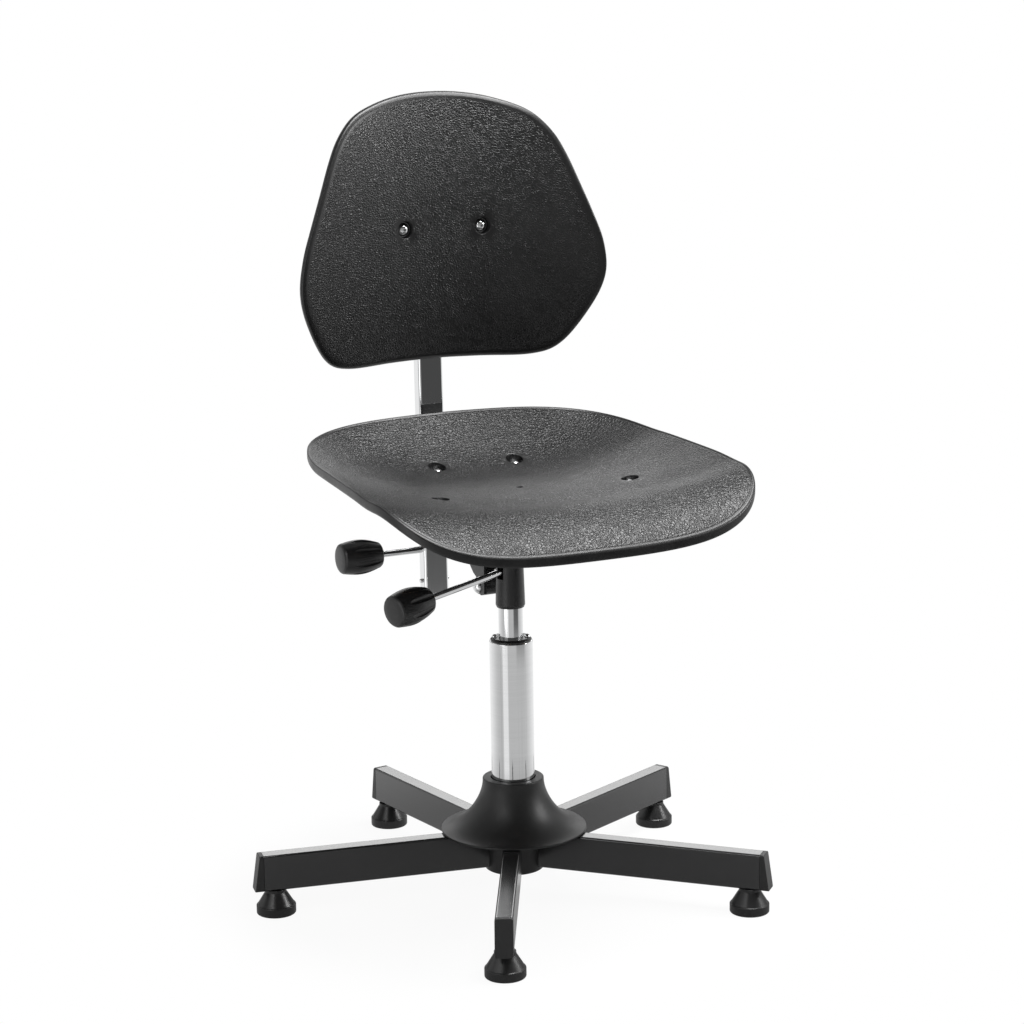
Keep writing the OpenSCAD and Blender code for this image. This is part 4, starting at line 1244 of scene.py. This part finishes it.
@dataclass(frozen=True)
class BrokenEdges:
    """How a CAD node's copy gets its edges broken.

    Attributes:
        width: Width of the bevel.
        segments: Facets across the bevel.
        sharp: Only edges that turn by more than this many degrees are broken.
    """

    width: float
    segments: int = 2
    sharp: float = 32.0

    def copy(self, node: str, slot: Slot, body: str) -> bpy.types.Object:
        """Copies a CAD node, breaks its sharp edges and lets the copy stand for it.

        Args:
            node: Name of the CAD node.
            slot: Its finish.
            body: Its body.

        Returns:
            The copy.
        """
        mesh = bmesh.new()
        mesh.from_mesh(bpy.data.objects[node].data)
        bmesh.ops.remove_doubles(mesh, verts=mesh.verts, dist=WELD_REACH)
        bmesh.ops.dissolve_limit(mesh, angle_limit=math.radians(FLAT_DEGREES), verts=mesh.verts,
                                 edges=mesh.edges)
        edges = [edge for edge in mesh.edges
                 if len(edge.link_faces) == 2 and edge.calc_face_angle(0.0) > math.radians(self.sharp)]
        if edges:
            bmesh.ops.bevel(mesh, geom=edges, offset=self.width, offset_type="OFFSET", affect="EDGES",
                            segments=self.segments, profile=0.5, material=-1, clamp_overlap=True)
        piece = finished(mesh, node + "_dressed", slot, body)
        level = piece.modifiers.new("level", "WEIGHTED_NORMAL")
        level.weight, level.keep_sharp = 100, True
        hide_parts(node)
        return piece


@dataclass
class HardParts:
    """All the chair's metal, plastic and board parts, which keep their CAD shape.

    Attributes:
        edges: How edges are broken, and the nodes that this is for, without their numbers.
    """

    edges: dict[BrokenEdges, str] = field(default_factory=lambda: {
        BrokenEdges(1.3 * MM, 3): "leg_cap",
        BrokenEdges(0.9 * MM, 3, 20.0): "glide",
        BrokenEdges(0.8 * MM): "base_hub",
        BrokenEdges(0.7 * MM, 3, 20.0): "socket",
        BrokenEdges(0.6 * MM): "base_cover seat_plate back_carrier back_bracket",
        BrokenEdges(0.5 * MM): "tilt_bracket pivot_bolt pivot_nut back_strut seat_nuts back_nuts",
        BrokenEdges(0.5 * MM, 3, 12.0): "front_grip clamp_grip",
        BrokenEdges(0.4 * MM): "guide_bush",
        BrokenEdges(0.3 * MM): "stop_pin bracket_bolts seat_screws back_screws",
        BrokenEdges(0.2 * MM): "ring_screws",
    })

    def dress(self, frame: dict[str, Any]) -> None:
        """Gives every CAD node its finish, and copies with broken edges where they show.

        Args:
            frame: The loaded frame.
        """
        slots = {part["node"]: Slot(part["material_slot"]) for part in frame["record"]["subparts"]}
        bodies = frame["record"]["behaviour"]["bodies"]
        body_of = {node: body for body, nodes in bodies.items() for node in nodes}
        ways = {kind: way for way, kinds in self.edges.items() for kind in kinds.split()}
        for node, piece in frame["nodes"].items():
            piece.data.materials.clear()
            piece.data.materials.append(FINISHES[slots[node]].material())
            way = ways.get(node.rstrip("12345").rstrip("_"))
            if way:
                way.copy(node, slots[node], body_of[node])


# Studio


@dataclass(frozen=True)
class Lamp:
    """A soft rectangular lamp.

    Attributes:
        name: Its name.
        place: Where it stands: to the camera's right, away from the camera, and up.
        aim: The point that it faces, in the same way.
        size: Its width and height.
        glow: Its radiance, where 1 is white.
    """

    name: str
    place: tuple[float, float, float]
    aim: tuple[float, float, float]
    size: tuple[float, float]
    glow: float

    def build(self, turn: Matrix) -> None:
        """Makes the lamp.

        Args:
            turn: Turns the camera's directions to the chair's.
        """
        data = bpy.data.lights.new(self.name, "AREA")
        data.shape, data.energy = "RECTANGLE", self.glow * math.pi * self.size[0] * self.size[1]
        data.size, data.size_y = self.size
        lamp = placed(self.name, data)
        lamp.location = turn @ Vector(self.place)
        view = turn @ (Vector(self.aim) - Vector(self.place))
        lamp.rotation_euler = view.to_track_quat("-Z", "Y").to_euler()
        lamp.visible_camera = False


@dataclass
class Studio:
    """White floor and surroundings, soft lamps, and the camera at the photograph's angle.

    Angles seen from the chair are in degrees to the right of the way to the camera, and an edge
    is the cosines of the angles from it at which a brightness begins to change and has changed.

    Attributes:
        stand_back, eye_height: The camera's distance from the swivel axis, and its height.
        azimuth: How far it stands round the chair, in degrees.
        pitch, roll, yaw: Its own turns, in degrees.
        focal_px, image_px: Focal length and width of the picture, in pixels.
        near_floor: Brightness that reflections see of the floor near the chair.
        dark_gap, gap_edge: Angle of a dark gap in floor and room, and its edge.
        gap_depth: How dark the gap is, 0 to 1.
        bright_way, bright_edge: Angle of a bright strip of the floor, and its edge.
        lamps: The lamps.
    """

    stand_back: float = 2.880
    eye_height: float = 1.030
    azimuth: float = 26.46
    pitch: float = 11.46
    roll: float = 0.91
    yaw: float = 0.07
    focal_px: float = 2586.0
    image_px: float = 1024.0
    near_floor: float = 0.6
    dark_gap: float = 52.0
    gap_edge: tuple[float, float] = (0.86, 0.96)
    gap_depth: float = 0.8
    bright_way: float = -33.0
    bright_edge: tuple[float, float] = (0.93, 0.985)
    lamps: tuple[Lamp, ...] = (
        Lamp("overhead", (0.65, -0.05, 2.4), (0.5, -0.05, 0.0), (1.4, 0.9), 18.0),
        Lamp("left_panel", (-0.76, -0.72, 0.7), (0.0, 0.0, 0.7), (0.56, 1.3), 1.15),
        Lamp("right_window", (2.3, 0.0, 1.5), (0.0, 0.0, 0.7), (0.5, 0.6), 24.0),
        Lamp("front", (-1.3, -2.2, 2.3), (0.0, 0.0, 0.6), (0.6, 0.45), 9.0),
        Lamp("rear_strip", (0.0, 7.0, 3.0), (0.0, 0.0, 0.3), (7.0, 1.8), 1.5),
    )

    def __post_init__(self) -> None:
        """Works out the turn from the camera's directions to the chair's."""
        self.turn = Matrix.Rotation(-math.radians(self.azimuth), 3, "Z")

    def camera(self) -> None:
        """Makes the camera from the fit to the photograph."""
        pitch, roll, yaw = (math.radians(a) for a in (self.pitch, self.roll, self.yaw))
        right = Vector((math.cos(yaw), -math.sin(yaw), 0.0))
        ahead = Vector((math.sin(yaw), math.cos(yaw), 0.0))
        up = ahead * math.sin(pitch) + Vector((0, 0, math.cos(pitch)))
        view = ahead * math.cos(pitch) - Vector((0, 0, math.sin(pitch)))
        image_x = right * math.cos(roll) - up * math.sin(roll)
        image_y = right * math.sin(roll) + up * math.cos(roll)
        turn = (self.turn @ Matrix((image_x, image_y, -view)).transposed()).to_4x4()
        spot = self.turn @ Vector((0.0, -self.stand_back, self.eye_height))
        data = bpy.data.cameras.new("camera")
        data.sensor_width = SENSOR_WIDTH
        data.lens = SENSOR_WIDTH * self.focal_px / self.image_px
        data.clip_start, data.clip_end = 0.1, 100.0
        eye = placed("camera", data)
        eye.matrix_world = Matrix.Translation(spot) @ turn
        bpy.context.scene.camera = eye

    def _facing(self, recipe: Recipe, direction: Wire, angle: float) -> Wire:
        """Compares a level direction with one seen from the chair.

        Args:
            recipe: The recipe that needs it.
            direction: The direction to compare.
            angle: Degrees to the right of the way to the camera.

        Returns:
            1 where they are the same, -1 where they are opposite.
        """
        way = recipe.vector("NORMALIZE", recipe.vector("MULTIPLY", direction, (1.0, 1.0, 0.0)))
        a = math.radians(angle)
        goal = tuple(self.turn @ Vector((math.sin(a), -math.cos(a), 0.0)))
        return recipe.vector("DOT_PRODUCT", way, goal, output="Value")

    def floor(self) -> None:
        """Makes the pale floor: white to the camera but for the chair's faint shadow.

        Reflections see it duller near the chair and towards the camera, shaded far in front of
        it, dark in the gap, and bright along one strip.
        """
        mesh = bmesh.new()
        bmesh.ops.create_grid(mesh, x_segments=4, y_segments=4, size=40.0)
        data = bpy.data.meshes.new("floor")
        mesh.to_mesh(data)
        mesh.free()
        made = bpy.data.materials.new("pale_floor")
        made.use_nodes = True
        recipe = Recipe(made.node_tree)
        place = recipe.place()
        far = recipe.vector("LENGTH", place, output="Value")
        front = self._facing(recipe, place, 0.0)
        dull = front.span(-0.9, 0.5, 1.0, self.near_floor) * far.span(0.25, 0.6, self.near_floor, 1.0)
        shade = front.span(-0.2, 0.6) * far.span(1.4, 2.4, 0.0, 0.4)
        gap = self._facing(recipe, place, self.dark_gap).span(*self.gap_edge) * far.span(1.0, 1.35)
        strip = self._facing(recipe, place, self.bright_way).span(*self.bright_edge, 0.0, 0.97)
        mirrored = (dull * (1 - self.gap_depth * gap) * (1 - shade)).most(strip * far.span(0.35, 0.5))
        camera = recipe.ray("Camera")
        matt = recipe.add("ShaderNodeBsdfDiffuse", {}, {"Color": (0.85, 0.85, 0.85, 1)})
        white = recipe.add("ShaderNodeEmission", {}, {"Strength": camera + (1 - camera) * mirrored})
        share = (camera * far.span(0.27, 0.40, 0.94, 1.0)).most(recipe.ray("Glossy"))
        recipe.finish(recipe.add("ShaderNodeMixShader", {}, {0: share, 1: matt, 2: white}))
        data.materials.append(made)
        floor = placed("floor", data)

    def surroundings(self) -> None:
        """Makes the room: white to the camera.

        Reflections see it duller in front and high up, darker low behind the chair, and dark in
        the gap. It lights the chair with less than they see.
        """
        world = bpy.data.worlds.new("white_studio")
        world.use_nodes = True
        bpy.context.scene.world = world
        recipe = Recipe(world.node_tree)
        direction = recipe.add("ShaderNodeTexCoord", output="Generated")
        front = self._facing(recipe, direction, 0.0)
        height = recipe.add("ShaderNodeSeparateXYZ", {}, {0: direction}, "Z")
        gap = self._facing(recipe, direction, self.dark_gap).span(*self.gap_edge)
        gap = gap * height.span(0.0, 0.25, 1.0, 0.0)
        low = front.span(-0.6, -0.2, 1.0, 0.0) * height.span(0.12, 0.31, 0.8, 0.0)
        dull = front.span(-0.2, 0.6, 1.0, 0.3) * height.span(0.3, 0.6, 0.95, 0.3)
        room = dull * (1 - low) * (1 - self.gap_depth * gap)
        camera = recipe.ray("Camera")
        mirror = recipe.ray("Glossy").most(recipe.ray("Transmission"))
        strength = camera + (1 - camera) * room * (0.4 + 0.6 * mirror)
        shell = recipe.add("ShaderNodeBackground", {}, {"Color": WHITE, "Strength": strength})
        recipe.finish(shell, "ShaderNodeOutputWorld")

    def build(self) -> None:
        """Sets up the whole studio."""
        bpy.context.scene.view_settings.view_transform = "Standard"
        self.camera()
        self.floor()
        self.surroundings()
        for lamp in self.lamps:
            lamp.build(self.turn)


def main() -> None:
    logging.basicConfig(level=logging.INFO, format="%(message)s")
    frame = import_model()
    Studio().build()
    HardParts().dress(frame)
    DishedSeat().build()
    WrappedBackrest().build()


if __name__ == "__main__":
    main()
